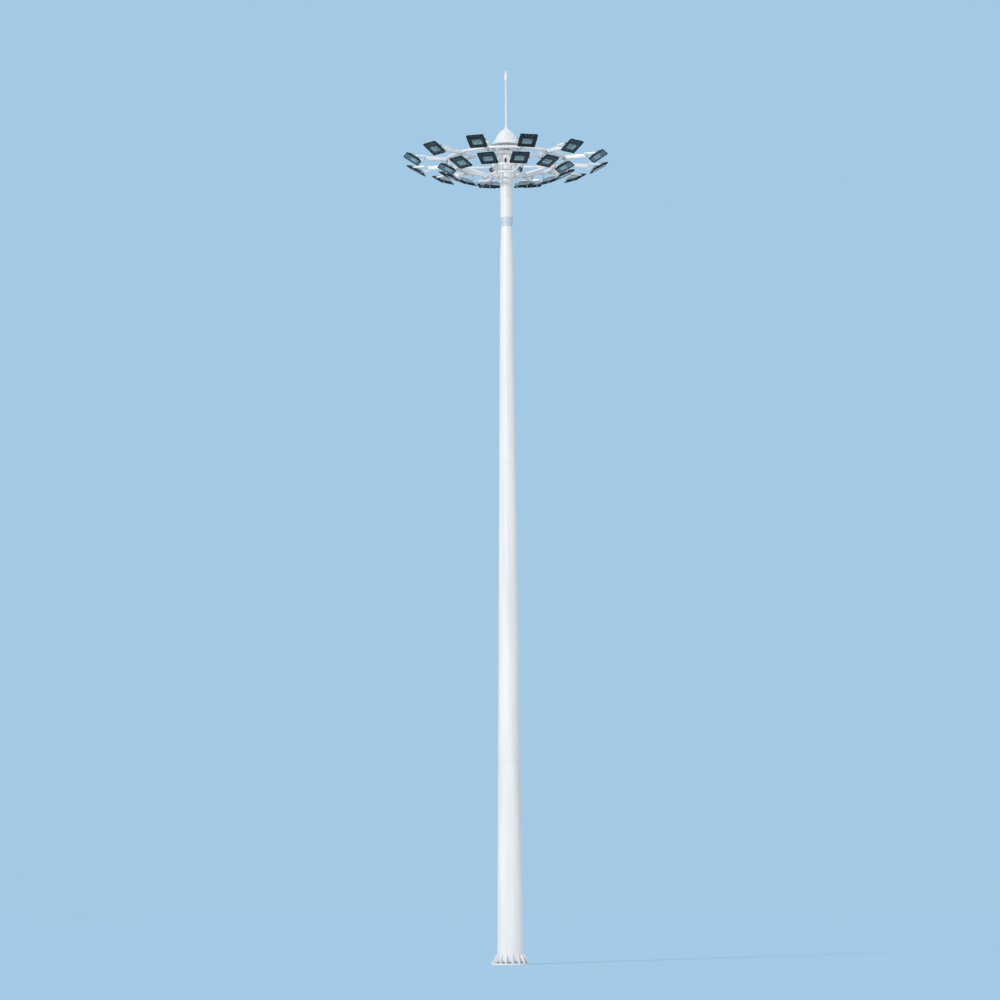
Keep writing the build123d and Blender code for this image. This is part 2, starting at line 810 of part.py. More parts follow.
# Floodlight in its own frame: X along the pivot, Z out through the glass, origin on the pivot
housing_front = pivot_depth - bezel_depth - seat
housing_back = housing_front - housing_depth
with BuildPart() as floodlight:
    # tapered cast housing with its side pads and cooling ribs
    with BuildSketch(Plane.XY.offset(housing_back)) as back_outline:
        Rectangle(housing_back_width, housing_back_height)
        chamfer(back_outline.vertices(), housing_corner)
    with BuildSketch(Plane.XY.offset(housing_front)) as front_outline:
        Rectangle(housing_front_width, housing_front_height)
        chamfer(front_outline.vertices(), housing_corner)
    loft()
    with BuildSketch(Plane.YZ.offset(housing_back_width / 2)):
        Rectangle(pad_height, pad_depth)
    extrude(amount=yoke_inner_face - seat - housing_back_width / 2)
    with BuildSketch(Plane.YZ.offset(-housing_back_width / 2)):
        Rectangle(pad_height, pad_depth)
    extrude(amount=-yoke_inner_face + seat + housing_back_width / 2)
    with BuildSketch(Plane.XY.offset(housing_back)):
        with GridLocations(rib_pitch, 0, rib_count, 1):
            Rectangle(rib_thickness, rib_length)
    extrude(amount=-rib_depth)
    # the hollow that holds the reflector
    with BuildSketch(Plane.XY.offset(housing_back + housing_wall)) as back_hollow:
        Rectangle(housing_back_width - 2 * housing_wall, housing_back_height - 2 * housing_wall)
        chamfer(back_hollow.vertices(), housing_corner - housing_wall)
    with BuildSketch(Plane.XY.offset(housing_front)) as front_hollow:
        Rectangle(housing_front_width - 2 * housing_wall, housing_front_height - 2 * housing_wall)
        chamfer(front_hollow.vertices(), housing_corner - housing_wall)
    loft(mode=Mode.SUBTRACT)
    # front frame
    with BuildSketch(Plane.XY.offset(housing_front + seat)) as bezel:
        Rectangle(lamp_width, lamp_height)
        chamfer(bezel.vertices(), lamp_corner)
        Rectangle(lamp_width - 2 * bezel_edge, lamp_height - 2 * bezel_edge, mode=Mode.SUBTRACT)
    extrude(amount=bezel_depth)
    # glass let into the frame
    with BuildSketch(Plane.XY.offset(pivot_depth - glass_inset - glass_thickness)):
        Rectangle(lamp_width - 2 * (bezel_edge + seat), lamp_height - 2 * (bezel_edge + seat))
    extrude(amount=glass_thickness)

# The same floodlight twelve times on each of the two rows
for number in range(lamp_count):
    turn = lamp_turn + number * 360 / lamp_count
    with BuildPart(lamp_place(outer_lamp_radius, outer_lamp_height, turn, outer_lamp_aim)) as outer_lamp:
        add(floodlight.part)
    outer_lamp.part.label = f"outer_floodlight_{number + 1:02d}"
    export_step(outer_lamp.part, f"parts/outer_floodlight_{number + 1:02d}.step")
    with BuildPart(lamp_place(inner_lamp_radius, inner_lamp_height, turn, inner_lamp_aim)) as inner_lamp:
        add(floodlight.part)
    inner_lamp.part.label = f"inner_floodlight_{number + 1:02d}"
    export_step(inner_lamp.part, f"parts/inner_floodlight_{number + 1:02d}.step")
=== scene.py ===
import bpy
import bmesh
import json
import math
from mathutils import Matrix, Vector


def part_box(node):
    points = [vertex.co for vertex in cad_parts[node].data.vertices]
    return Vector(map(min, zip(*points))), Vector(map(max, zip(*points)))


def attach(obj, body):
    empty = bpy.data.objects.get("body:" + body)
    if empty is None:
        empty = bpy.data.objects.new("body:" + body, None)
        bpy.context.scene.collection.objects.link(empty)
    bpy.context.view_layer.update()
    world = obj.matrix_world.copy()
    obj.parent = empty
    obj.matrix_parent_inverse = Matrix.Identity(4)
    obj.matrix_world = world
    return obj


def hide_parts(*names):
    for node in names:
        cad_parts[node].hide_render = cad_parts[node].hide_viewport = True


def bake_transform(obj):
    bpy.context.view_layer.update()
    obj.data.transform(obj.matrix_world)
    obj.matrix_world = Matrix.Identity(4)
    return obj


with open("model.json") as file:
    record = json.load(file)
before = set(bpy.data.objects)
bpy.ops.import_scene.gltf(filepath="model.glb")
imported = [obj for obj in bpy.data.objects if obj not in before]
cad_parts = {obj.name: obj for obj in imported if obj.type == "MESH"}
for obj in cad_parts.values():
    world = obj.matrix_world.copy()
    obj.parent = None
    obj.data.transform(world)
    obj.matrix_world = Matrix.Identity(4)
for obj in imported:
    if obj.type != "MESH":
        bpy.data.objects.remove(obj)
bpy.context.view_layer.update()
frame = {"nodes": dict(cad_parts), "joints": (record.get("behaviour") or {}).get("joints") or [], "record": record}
record = frame["record"]
joints = {joint["child"]: joint for joint in frame["joints"]}
print("frame loaded")


# small helpers: colour, nodes, selecting and finishing

def linearColour(hexColour):
    # sRGB hex to the linear values that the shaders take
    parts = [int(hexColour[i:i + 2], 16) / 255 for i in (1, 3, 5)]
    return [v / 12.92 if v <= 0.04045 else ((v + 0.055) / 1.055) ** 2.4 for v in parts] + [1]


def addNode(tree, kind, inputs, **settings):
    # one node with its settings, its values and its links
    node = tree.nodes.new(kind)
    for name, value in settings.items():
        setattr(node, name, value)
    for name, value in inputs.items():
        if isinstance(value, bpy.types.NodeSocket):
            tree.links.new(value, node.inputs[name])
        else:
            node.inputs[name].default_value = value
    return node


def deselectAll():
    bpy.ops.object.select_all(action="DESELECT")


def selectAll():
    bpy.ops.mesh.select_all(action="SELECT")


def select(*pieces):
    deselectAll()
    for piece in pieces:
        piece.select_set(True)
    bpy.context.view_layer.objects.active = pieces[0]


def pick(kind, test):
    # in edit mode, selects the faces or edges that pass the test
    bpy.ops.mesh.select_all(action="DESELECT")
    bpy.ops.mesh.select_mode(type={"faces": "FACE", "edges": "EDGE"}[kind])
    shape = bmesh.from_edit_mesh(bpy.context.object.data)
    for element in getattr(shape, kind):
        if test(element):
            element.select_set(True)
    shape.select_flush_mode()
    bmesh.update_edit_mesh(bpy.context.object.data)


def editStart():
    bpy.ops.object.mode_set(mode="EDIT")


def editEnd():
    bpy.ops.object.mode_set(mode="OBJECT")


def pullOut(x, y, z):
    # extrudes what is selected by that much
    bpy.ops.mesh.extrude_region_move(TRANSFORM_OT_translate={"value": (x, y, z)})


def addModifier(kind, **settings):
    # adds a modifier to the active piece and applies it
    modifier = bpy.context.object.modifiers.new(kind.lower(), kind)
    for name, value in settings.items():
        setattr(modifier, name, value)
    bpy.ops.object.modifier_apply(modifier=modifier.name)


def softenEdges(width, segments=2, angle=40):
    addModifier("BEVEL", width=width, segments=segments, limit_method="ANGLE",
                angle_limit=math.radians(angle), harden_normals=False)


def smoothShade(angle=35):
    bpy.ops.object.shade_smooth_by_angle(angle=math.radians(angle))


def middleOf(element):
    # the middle of a face or an edge
    corners = [corner.co for corner in element.verts]
    return sum(corners, Vector()) / len(corners)


def setPlace():
    # the place and size go into the mesh, so that the object stands at the origin
    bpy.ops.object.transform_apply(location=True, rotation=True, scale=True)


def paint(piece, material):
    piece.data.materials.clear()
    piece.data.materials.append(material)


def joinPieces(name, pieces):
    select(*pieces)
    if len(pieces) > 1:
        bpy.ops.object.join()
    piece = bpy.context.object
    piece.name = name
    piece.data.name = name
    return piece


def placedCopy(master, matrix, name="part"):
    copy = master.copy()
    copy.data = master.data.copy()
    copy.data.transform(matrix)
    copy.name = name
    bpy.context.scene.collection.objects.link(copy)
    return copy


def finishPiece(piece, body, slot, *replaced):
    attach(piece, body)
    if replaced:
        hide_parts(*replaced)


def finishCopies(name, master, places, body, slot, *replaced):
    # one piece from copies of the master at all the places, and the master is then deleted
    copies = [placedCopy(master, place) for place in places]
    bpy.data.objects.remove(master)
    finishPiece(joinPieces(name, copies), body, slot, *replaced)


def turned(angle):
    return Matrix.Rotation(math.radians(angle), 4, "Z")


def outAt(turn, reach, height=0):
    # out from the mast's axis by the reach, then turned round it
    return turned(turn) @ Matrix.Translation((reach, 0, height))


# materials

def newMaterial(name, constants=None):
    # a shader with its fixed values set, and the object's own coordinates to draw patterns on
    material = bpy.data.materials.new(name)
    material.use_nodes = True
    tree = material.node_tree
    tree.nodes.clear()
    output = tree.nodes.new("ShaderNodeOutputMaterial")
    shader = tree.nodes.new("ShaderNodeBsdfPrincipled")
    tree.links.new(shader.outputs[0], output.inputs[0])
    for socket, value in (constants or {}).items():
        shader.inputs[socket].default_value = value
    place = tree.nodes.new("ShaderNodeTexCoord").outputs["Object"]
    return material, tree, shader, place


def noisePattern(tree, place, sizeMm, detail=3, stretch=(1, 1, 1)):
    # noise whose blotches are about that many millimetres across
    mapping = addNode(tree, "ShaderNodeMapping", {"Vector": place, "Scale": stretch})
    return addNode(tree, "ShaderNodeTexNoise", {"Vector": mapping.outputs[0], "Scale": 1000 / sizeMm,
                                                "Detail": detail}).outputs["Fac"]


def blendColours(tree, factor, stops):
    # a ramp between two colours
    ramp = addNode(tree, "ShaderNodeValToRGB", {"Fac": factor})
    for element, (position, colour) in zip(ramp.color_ramp.elements, stops):
        element.position = position
        element.color = linearColour(colour)
    return ramp.outputs["Color"]


def rangeOf(tree, factor, low, high):
    return addNode(tree, "ShaderNodeMapRange", {"Value": factor, "To Min": low, "To Max": high}).outputs[0]


def colourAndGloss(tree, shader, pattern, stops, low, high):
    # one pattern drives the colour and the roughness
    tree.links.new(blendColours(tree, pattern, stops), shader.inputs["Base Color"])
    tree.links.new(rangeOf(tree, pattern, low, high), shader.inputs["Roughness"])


def addBump(tree, shader, height, distanceMm, strength):
    bump = addNode(tree, "ShaderNodeBump", {"Height": height, "Strength": strength,
                                            "Distance": distanceMm / 1000})
    tree.links.new(bump.outputs[0], shader.inputs["Normal"])


def glossPaintMaterial():
    # two-pack gloss paint, sprayed on zinc-coated steel: an even white skin with a slow orange peel,
    # and rain that has left faint upright streaks of dust
    material, tree, shader, place = newMaterial("sprayed white gloss paint",
                                                {"Coat Weight": 0.35, "Coat Roughness": 0.12})
    streaks = noisePattern(tree, place, 260, 5, (1, 1, 0.06))
    tree.links.new(blendColours(tree, streaks, [(0.3, "#dfe3e5"), (0.62, "#eef0f1")]),
                   shader.inputs["Base Color"])
    tree.links.new(rangeOf(tree, noisePattern(tree, place, 90), 0.30, 0.46), shader.inputs["Roughness"])
    # the real peel is about 3 mm across, drawn at 14 mm so that it shows
    addBump(tree, shader, noisePattern(tree, place, 14, 2), 0.25, 0.5)
    return material


def hotDipZincMaterial():
    # hot-dip galvanised steel: dull blue-grey crystals, a few millimetres across, drawn at 12 mm to show
    material, tree, shader, place = newMaterial("hot-dip galvanised steel", {"Metallic": 0.85})
    crystals = addNode(tree, "ShaderNodeTexVoronoi", {"Vector": place, "Scale": 1000 / 12})
    grain = addNode(tree, "ShaderNodeSeparateColor", {"Color": crystals.outputs["Color"]}).outputs[0]
    colourAndGloss(tree, shader, grain, [(0.0, "#8c9296"), (1.0, "#b4b9bb")], 0.38, 0.6)
    addBump(tree, shader, noisePattern(tree, place, 25), 0.3, 0.4)
    return material


def castAluminiumMaterial():
    # die-cast aluminium left bare: silver-grey, a soft sheen over the grainy skin of the mould
    material, tree, shader, place = newMaterial("die-cast aluminium", {"Metallic": 0.6})
    clouds = noisePattern(tree, place, 70, 4)
    colourAndGloss(tree, shader, clouds, [(0.3, "#a4aaad"), (0.7, "#bcc1c3")], 0.42, 0.56)
    # the mould's grain is under 1 mm, drawn at 5 mm
    addBump(tree, shader, noisePattern(tree, place, 5, 2), 0.2, 0.5)
    return material


def powderCoatMaterial():
    # black powder coat, baked: near black, low sheen, a fine even texture with dust in its hollows
    material, tree, shader, place = newMaterial("baked black powder coat", {"Specular IOR Level": 0.3})
    dust = noisePattern(tree, place, 60, 5)
    colourAndGloss(tree, shader, dust, [(0.35, "#0f1415"), (0.8, "#1f2527")], 0.45, 0.62)
    addBump(tree, shader, noisePattern(tree, place, 4, 2), 0.15, 0.6)
    return material


def clearGlassMaterial():
    # toughened float glass, fire-polished: clear with a faint green cast, thin dust here and there
    # its IOR is under glass's own 1.52, at which it mirrors too much of the pale floor
    material, tree, shader, place = newMaterial("toughened float glass", {
        "Base Color": linearColour("#e6e8e2"), "Transmission Weight": 1,
        "Specular IOR Level": 0.25, "IOR": 1.36})
    tree.links.new(rangeOf(tree, noisePattern(tree, place, 120, 4), 0.0, 0.09), shader.inputs["Roughness"])
    return material


def peenedReflectorMaterial():
    # anodised aluminium sheet, peened: bright, with shallow round dimples that break up what it mirrors
    material, tree, shader, place = newMaterial("peened anodised aluminium", {"Metallic": 1})
    dimplesAndShade = addNode(tree, "ShaderNodeTexVoronoi", {"Vector": place, "Scale": 1000 / 16},
                      feature="SMOOTH_F1").outputs["Distance"]
    # darker at the bottom of each dimple: painted shade in the hollows
    colourAndGloss(tree, shader, dimplesAndShade, [(0.0, "#bcc0c1"), (0.6, "#eceeed")], 0.22, 0.34)
    addBump(tree, shader, dimplesAndShade, 1.2, 0.8)
    return material


def shadeBlackMaterial():
    # black paint, brushed on, for the sheet round the reflector: a painted shade that stands for the reflector's
    # shaded side walls
    material, tree, shader, place = newMaterial("matt black painted shade", {"Specular IOR Level": 0.15})
    strokes = noisePattern(tree, place, 30, 3, (1, 0.2, 1))
    colourAndGloss(tree, shader, strokes, [(0.3, "#0d0f11"), (0.8, "#191c1f")], 0.7, 0.85)
    return material


def ceramicMaterial():
    # pressed steatite lampholders and the frosted envelope: warm white, slightly waxy
    material, tree, shader, place = newMaterial("pressed ceramic")
    mottle = noisePattern(tree, place, 12, 3)
    colourAndGloss(tree, shader, mottle, [(0.3, "#d8d2c4"), (0.7, "#e9e5da")], 0.35, 0.5)
    return material


def stainlessMaterial():
    # rolled stainless strip and bolts, lightly brushed along their length
    material, tree, shader, place = newMaterial("brushed stainless steel", {"Metallic": 1})
    strokes = noisePattern(tree, place, 6, 3, (1, 1, 0.1))
    colourAndGloss(tree, shader, strokes, [(0.3, "#a9acae"), (0.7, "#c6c8c9")], 0.25, 0.42)
    return material


def shadeBandZincMaterial():
    # rolled zinc sheet: pale blue-grey and dull, a painted shade that stands for the shadow band round the mast
    # under the head sleeve, with fine lines along the rolling
    material, tree, shader, place = newMaterial("rolled zinc in painted shade grey", {"Metallic": 0.25})
    lines = noisePattern(tree, place, 8, 3, (1, 1, 0.12))
    colourAndGloss(tree, shader, lines, [(0.3, "#c5d5df"), (0.7, "#d4e1ea")], 0.58, 0.68)
    return material


def wireRopeMaterial():
    # drawn steel wires laid in strands: greased, so the hollows between the strands are darker
    material, tree, shader, place = newMaterial("greased stranded steel wire", {"Metallic": 0.9})
    grease = noisePattern(tree, place, 18, 4, (1, 1, 0.3))
    colourAndGloss(tree, shader, grease, [(0.35, "#4c4e50"), (0.7, "#84888a")], 0.35, 0.6)
    return material


def tyreMaterial():
    # moulded black polyurethane: soft sheen, greyed where it has rolled in dust
    material, tree, shader, place = newMaterial("moulded black polyurethane")
    dust = noisePattern(tree, place, 35, 5)
    colourAndGloss(tree, shader, dust, [(0.35, "#131517"), (0.85, "#33373a")], 0.45, 0.7)
    addBump(tree, shader, noisePattern(tree, place, 6, 2), 0.3, 0.5)
    return material


whitePaint = glossPaintMaterial()
zincSteel = hotDipZincMaterial()
castAluminium = castAluminiumMaterial()
blackCoat = powderCoatMaterial()
lampGlass = clearGlassMaterial()
reflectorSheet = peenedReflectorMaterial()
shadeBlack = shadeBlackMaterial()
ceramic = ceramicMaterial()
stainless = stainlessMaterial()
shadeBandZinc = shadeBandZincMaterial()
wireRope = wireRopeMaterial()
blackTyre = tyreMaterial()
print("materials made")

# every CAD node first takes the finish of its slot
slotMaterials = {"mast_paint": whitePaint, "galvanised_steel": zincSteel, "rope_steel": wireRope,
                 "roller_rubber": blackTyre, "lamp_body": castAluminium}
for subpart in record["subparts"]:
    paint(frame["nodes"][subpart["node"]], slotMaterials[subpart["material_slot"]])


# modelling helpers: boxes, round bars, turned pieces, bent bars and bolts

axisTurns = {"X": (0, math.pi / 2, 0), "Y": (math.pi / 2, 0, 0), "Z": (0, 0, 0)}
hexRadius = 0.577  # a hexagon's radius over its width across flats


def finishShape(soft, material):
    # eases the edges of a new shape and paints it
    if soft:
        softenEdges(soft)
    if material:
        paint(bpy.context.object, material)
    return bpy.context.object


def addBox(size, centre=(0, 0, 0), soft=0.0, material=None):
    # a block with its edges eased
    deselectAll()
    bpy.ops.mesh.primitive_cube_add(size=1, location=centre)
    bpy.context.object.scale = size
    setPlace()
    return finishShape(soft, material)


def addFlat(width, depth, centre, rotation=(0, 0, 0)):
    # a rectangle to extrude or spin from
    deselectAll()
    bpy.ops.mesh.primitive_plane_add(size=1, location=centre, rotation=rotation)
    bpy.context.object.scale = (width, depth, 1)
    setPlace()
    return bpy.context.object


def addRound(radius, length, centre=(0, 0, 0), axis="Z", sides=24, soft=0.0, material=None):
    # a round bar along one axis, its rims eased
    deselectAll()
    bpy.ops.mesh.primitive_cylinder_add(vertices=sides, radius=radius, depth=length, location=centre,
                                        rotation=axisTurns[axis])
    setPlace()
    return finishShape(soft, material)


def mergeAndPoint():
    # closes seams and poles, then points every face outwards
    selectAll()
    bpy.ops.mesh.remove_doubles(threshold=0.00005)
    bpy.ops.mesh.normals_make_consistent(inside=False)


def pullTo(here, there):
    bpy.ops.mesh.extrude_vertices_move(TRANSFORM_OT_translate={"value": Vector(there) - Vector(here)})


def addTurned(outline, steps, material=None, smooth=35):
    # a chain of (radius, height) points, spun all round the Z axis, smooth up to the angle
    addFlat(0.001, 0.001, (outline[0][0], 0, outline[0][1]))
    editStart()
    bpy.ops.mesh.select_mode(type="VERT")
    selectAll()
    bpy.ops.mesh.merge(type="CENTER")
    for (radius, height), (nextRadius, nextHeight) in zip(outline, outline[1:]):
        pullTo((radius, 0, height), (nextRadius, 0, nextHeight))
    selectAll()
    bpy.ops.mesh.spin(steps=steps, angle=math.tau, center=(0, 0, 0), axis=(0, 0, 1))
    mergeAndPoint()
    editEnd()
    if smooth:
        smoothShade(smooth)
    return finishShape(0, material)


def arcPoints(start, middle, end, count):
    # points on the circle through three points, ends included
    ax, ay, bx, by, cx, cy = *start, *middle, *end
    area = 2 * (ax * (by - cy) + bx * (cy - ay) + cx * (ay - by))
    a2, b2, c2 = ax * ax + ay * ay, bx * bx + by * by, cx * cx + cy * cy
    ox = (a2 * (by - cy) + b2 * (cy - ay) + c2 * (ay - by)) / area
    oy = (a2 * (cx - bx) + b2 * (ax - cx) + c2 * (bx - ax)) / area
    radius = math.hypot(ax - ox, ay - oy)
    first, last = math.atan2(ay - oy, ax - ox), math.atan2(cy - oy, cx - ox)
    sweep = (last - first + math.pi) % math.tau - math.pi
    turns = [first + sweep * k / count for k in range(count + 1)]
    return [(ox + radius * math.cos(turn), oy + radius * math.sin(turn)) for turn in turns]


def addBead(radius, height, size, steps, material):
    # a rounded weld bead running round the mast
    section = [(radius - size / 2 + size * math.cos(a), height + size * math.sin(a))
               for a in [math.pi * k / 3 for k in range(7)]]
    return addTurned(section, steps, material, 60)


# all as shares of the head's width across flats
boltSet = {"head": 0.62, "headSoft": 0.05, "washerRadius": 0.85, "washer": 0.14, "washerSoft": 0.02}


def makeBolt(s, across, material):
    # hexagon head on its washer, the seat at the origin and the head up Z
    middle = s["washer"] + s["head"] / 2
    head = addRound(across * hexRadius, across * s["head"], (0, 0, across * middle), "Z", 6,
                    across * s["headSoft"], material)
    washer = addRound(across * s["washerRadius"], across * s["washer"], (0, 0, across * s["washer"] / 2),
                      "Z", 16, across * s["washerSoft"], material)
    return joinPieces("bolt", [head, washer])


def putAt(place, axis=(0, 0, 1)):
    # matrix that carries a master from the origin to a place, its Z along the axis
    return Matrix.Translation(place) @ Vector(axis).to_track_quat("Z", "Y").to_matrix().to_4x4()


masters = {"bolt": makeBolt(boltSet, 0.024, zincSteel), "smallBolt": makeBolt(boltSet, 0.010, stainless)}


def addBolts(name, places):
    # copies of a master bolt at each (place, direction)
    return [placedCopy(masters[name], putAt(place, axis)) for place, axis in places]


def boltsAtTurns(name, turns, places):
    # the same bolts at each turn round the mast's axis
    bolts = []
    for turn in turns:
        for bolt in addBolts(name, places):
            bolt.data.transform(turned(turn))
            bolts.append(bolt)
    return bolts


print("modelling helpers ready")


# floodlight, drawn in its own frame: X along the pivot, Z out through the glass, origin on the pivot

lampSet = {"face": 0.075, "width": 0.554, "height": 0.535, "corner": 0.0285, "frameDepth": 0.040,
           "frameEdge": 0.026, "glassInset": 0.008, "glassThickness": 0.006, "glassGap": 0.0003,
           "housingFront": (0.520, 0.500), "housingBack": (0.330, 0.270), "housingDepth": 0.095,
           "housingCorner": 0.040, "castDepth": 0.060, "coverInset": 0.018, "coverRise": 0.004, "wall": 0.005,
           "finCount": 5, "finPitch": 0.055, "finLength": 0.220, "finDepth": 0.015, "finThickness": 0.006,
           "finTip": (0.55, 0.9, 1), "bossFlare": (1, 1.5, 1),
           "shadePlateDepth": 0.030, "shadePlateInset": 0.050, "shadePlateLap": 0.002, "shadePlateSheet": 0.002,
           "mouth": (0.310, 0.215), "mouthShift": -0.045, "mouthCorner": 0.020,
           "bowlBack": (0.160, 0.100), "bowlDepth": 0.080, "bowlSheet": 0.001,
           "tubeRadius": 0.013, "tubeLength": 0.150, "capRadius": 0.0169, "capLength": 0.022,
           "bossRadius": 0.026, "reach": 0.2907}
latchSet = {"spread": 0.17, "clip": (0.036, 0.010, 0.052), "clipDrop": 0.012, "knuckle": 0.007,
            "knuckleLength": 0.060, "lap": 0.001, "screwSink": 0.0008,
            "sideSpread": 0.9, "endSpread": 0.5}
glandSet = {"radius": 0.012, "length": 0.030, "across": 0.100, "below": 0.035, "behind": 0.030}


def makeHousing(s):
    # tapered cast pan: widened front, rounded corners, a raised cover on its back, hollow inside
    front = s["face"] - s["frameDepth"]
    back = front - s["housingDepth"]
    pan = addBox((*s["housingBack"], s["housingDepth"]), (0, 0, (front + back) / 2))
    editStart()
    pick("faces", lambda face: face.normal.z > 0.9)
    bpy.ops.transform.resize(value=(s["housingFront"][0] / s["housingBack"][0],
                                    s["housingFront"][1] / s["housingBack"][1], 1))
    pick("edges", lambda edge: abs(edge.verts[0].co.z - edge.verts[1].co.z) > 0.01)
    bpy.ops.mesh.bevel(offset=s["housingCorner"], segments=5, affect="EDGES")
    pick("faces", lambda face: face.normal.z > 0.9)
    bpy.ops.mesh.delete(type="FACE")
    selectAll()
    bpy.ops.mesh.bisect(plane_co=(0, 0, back + s["castDepth"]), plane_no=(0, 0, 1))
    pick("faces", lambda face: face.normal.z < -0.9)
    bpy.ops.mesh.inset(thickness=s["coverInset"])
    pullOut(0, 0, -s["coverRise"])
    editEnd()
    addModifier("SOLIDIFY", thickness=s["wall"], offset=-1)
    softenEdges(0.0025, 2, 20)
    smoothShade(30)
    paint(pan, blackCoat)
    pan.data.materials.append(castAluminium)
    editStart()
    pick("faces", lambda face: middleOf(face).z < back + s["castDepth"])
    pan.active_material_index = 1
    bpy.ops.object.material_slot_assign()
    editEnd()
    return pan


def makeFins(s):
    # cooling fins, thinner towards their tips and rounded at both ends
    back = s["face"] - s["frameDepth"] - s["housingDepth"]
    firstFin = (-s["finPitch"] * (s["finCount"] - 1) / 2, 0, back - s["finDepth"] / 2)
    fin = addBox((s["finThickness"], s["finLength"], s["finDepth"]), firstFin, material=castAluminium)
    editStart()
    pick("faces", lambda face: face.normal.z < -0.9)
    bpy.ops.transform.resize(value=s["finTip"])
    editEnd()
    softenEdges(0.001, 1)
    addModifier("ARRAY", count=s["finCount"], use_relative_offset=False, use_constant_offset=True,
                constant_offset_displace=(s["finPitch"], 0, 0))
    return fin


def makeFrontFrame(s):
    # black frame round the glass: a rounded outline, inset, opened and given its depth
    rim = addFlat(s["width"], s["height"], (0, 0, s["face"] - s["frameDepth"]))
    editStart()
    selectAll()
    bpy.ops.mesh.bevel(offset=s["corner"], segments=4, affect="VERTICES")
    bpy.ops.mesh.inset(thickness=s["frameEdge"])
    bpy.ops.mesh.delete(type="FACE")
    editEnd()
    addModifier("SOLIDIFY", thickness=s["frameDepth"], offset=1)
    softenEdges(0.003, 2, 50)
    smoothShade(30)
    paint(rim, blackCoat)
    return rim


def makeLatches(s, latch):
    # two spring clips below, two hinge knuckles above, screws all round the frame's face
    frameBack = s["face"] - s["frameDepth"]
    clipHeight = s["face"] - s["frameDepth"] / 2 - latch["clipDrop"]
    edge = s["height"] / 2 - latch["lap"]
    extras = []
    for side in (-1, 1):
        across = side * latch["spread"]
        extras.append(addBox(latch["clip"], (across, -edge, clipHeight), 0.003, stainless))
        extras.append(addRound(latch["knuckle"], latch["knuckleLength"], (across, edge, frameBack),
                               "X", 12, 0.0015, stainless))
    edgeX, edgeY = (s["width"] - s["frameEdge"]) / 2, (s["height"] - s["frameEdge"]) / 2
    spots = [(x * edgeX, y * edgeY * latch["sideSpread"]) for x in (-1, 1) for y in (-1, 0, 1)]
    spots += [(x * edgeX * latch["endSpread"], y * edgeY) for x in (-1, 1) for y in (-1, 1)]
    seat = s["face"] - latch["screwSink"]
    return extras + addBolts("smallBolt", [((x, y, seat), (0, 0, 1)) for x, y in spots])


def makeInside(s):
    # black plate with its mouth (painted shade round the reflector), the reflector bowl behind it and the lamp
    # across the bowl
    level = s["face"] - s["shadePlateDepth"]
    innerWidth, innerHeight = s["width"] - 2 * s["frameEdge"], s["height"] - 2 * s["frameEdge"]
    shadePlate = addFlat(innerWidth + 2 * s["shadePlateLap"], innerHeight + 2 * s["shadePlateLap"], (0, 0, level))
    editStart()
    selectAll()
    bpy.ops.mesh.inset(thickness=s["shadePlateInset"])
    lost = 2 * (s["shadePlateInset"] - s["shadePlateLap"])
    mouthWidth, mouthHeight = s["mouth"]
    bpy.ops.transform.resize(value=(mouthWidth / (innerWidth - lost), mouthHeight / (innerHeight - lost), 1))
    bpy.ops.transform.translate(value=(0, s["mouthShift"], 0))
    bpy.ops.mesh.bevel(offset=s["mouthCorner"], segments=3, affect="VERTICES")
    pick("faces", lambda face: max(abs(v.co.x) for v in face.verts) < mouthWidth * 0.52)
    bpy.ops.mesh.delete(type="FACE")
    editEnd()
    addModifier("SOLIDIFY", thickness=s["shadePlateSheet"], offset=-1)
    # the plate's black is painted shade for the shaded side walls of the reflector
    paint(shadePlate, shadeBlack)

    bowl = addBox((*s["bowlBack"], s["bowlDepth"]), (0, s["mouthShift"], level - s["bowlDepth"] / 2))
    editStart()
    pick("faces", lambda face: face.normal.z > 0.9)
    bpy.ops.transform.resize(value=(mouthWidth / s["bowlBack"][0], mouthHeight / s["bowlBack"][1], 1))
    bpy.ops.mesh.delete(type="FACE")
    selectAll()
    bpy.ops.mesh.subdivide(number_cuts=3)
    editEnd()
    addModifier("SUBSURF", levels=1, render_levels=1, boundary_smooth="PRESERVE_CORNERS")
    addModifier("SOLIDIFY", thickness=s["bowlSheet"], offset=-1)
    smoothShade(60)
    paint(bowl, reflectorSheet)

    lampHeight = level - s["bowlDepth"] * 0.5
    shift = s["mouthShift"]
    tube = addRound(s["tubeRadius"], s["tubeLength"], (0, shift, lampHeight), "X", 16, 0.006, ceramic)
    smoothShade(60)
    caps = [addRound(s["capRadius"], s["capLength"], (side * s["tubeLength"] / 2, shift, lampHeight),
                     "X", 16, 0.002, ceramic) for side in (-1, 1)]
    return [shadePlate, bowl, tube] + caps


def makeBosses(s, gland):
    # pivot bosses out to the yoke, and the cable gland below
    inner = s["housingBack"][0] / 2
    length = s["reach"] - inner
    parts = []
    for side in (-1, 1):
        boss = addRound(s["bossRadius"], length, (side * (inner + length / 2), 0, 0), "X", 20)
        editStart()
        pick("faces", lambda face: face.normal.x * side < -0.9)
        bpy.ops.transform.resize(value=s["bossFlare"])
        editEnd()
        softenEdges(0.002)
        smoothShade(40)
        paint(boss, castAluminium)
        parts.append(boss)
    place = (gland["across"], -s["housingBack"][1] / 2 - gland["below"], -gland["behind"])
    return parts + [addRound(gland["radius"], gland["length"], place, "Y", 6, 0.002, blackCoat)]


def makeGlass(s):
    # the pane, let into the front frame
    gap = s["frameEdge"] + s["glassGap"]
    return addBox((s["width"] - 2 * gap, s["height"] - 2 * gap, s["glassThickness"]),
                  (0, 0, s["face"] - s["glassInset"] - s["glassThickness"] / 2), 0.001, lampGlass)


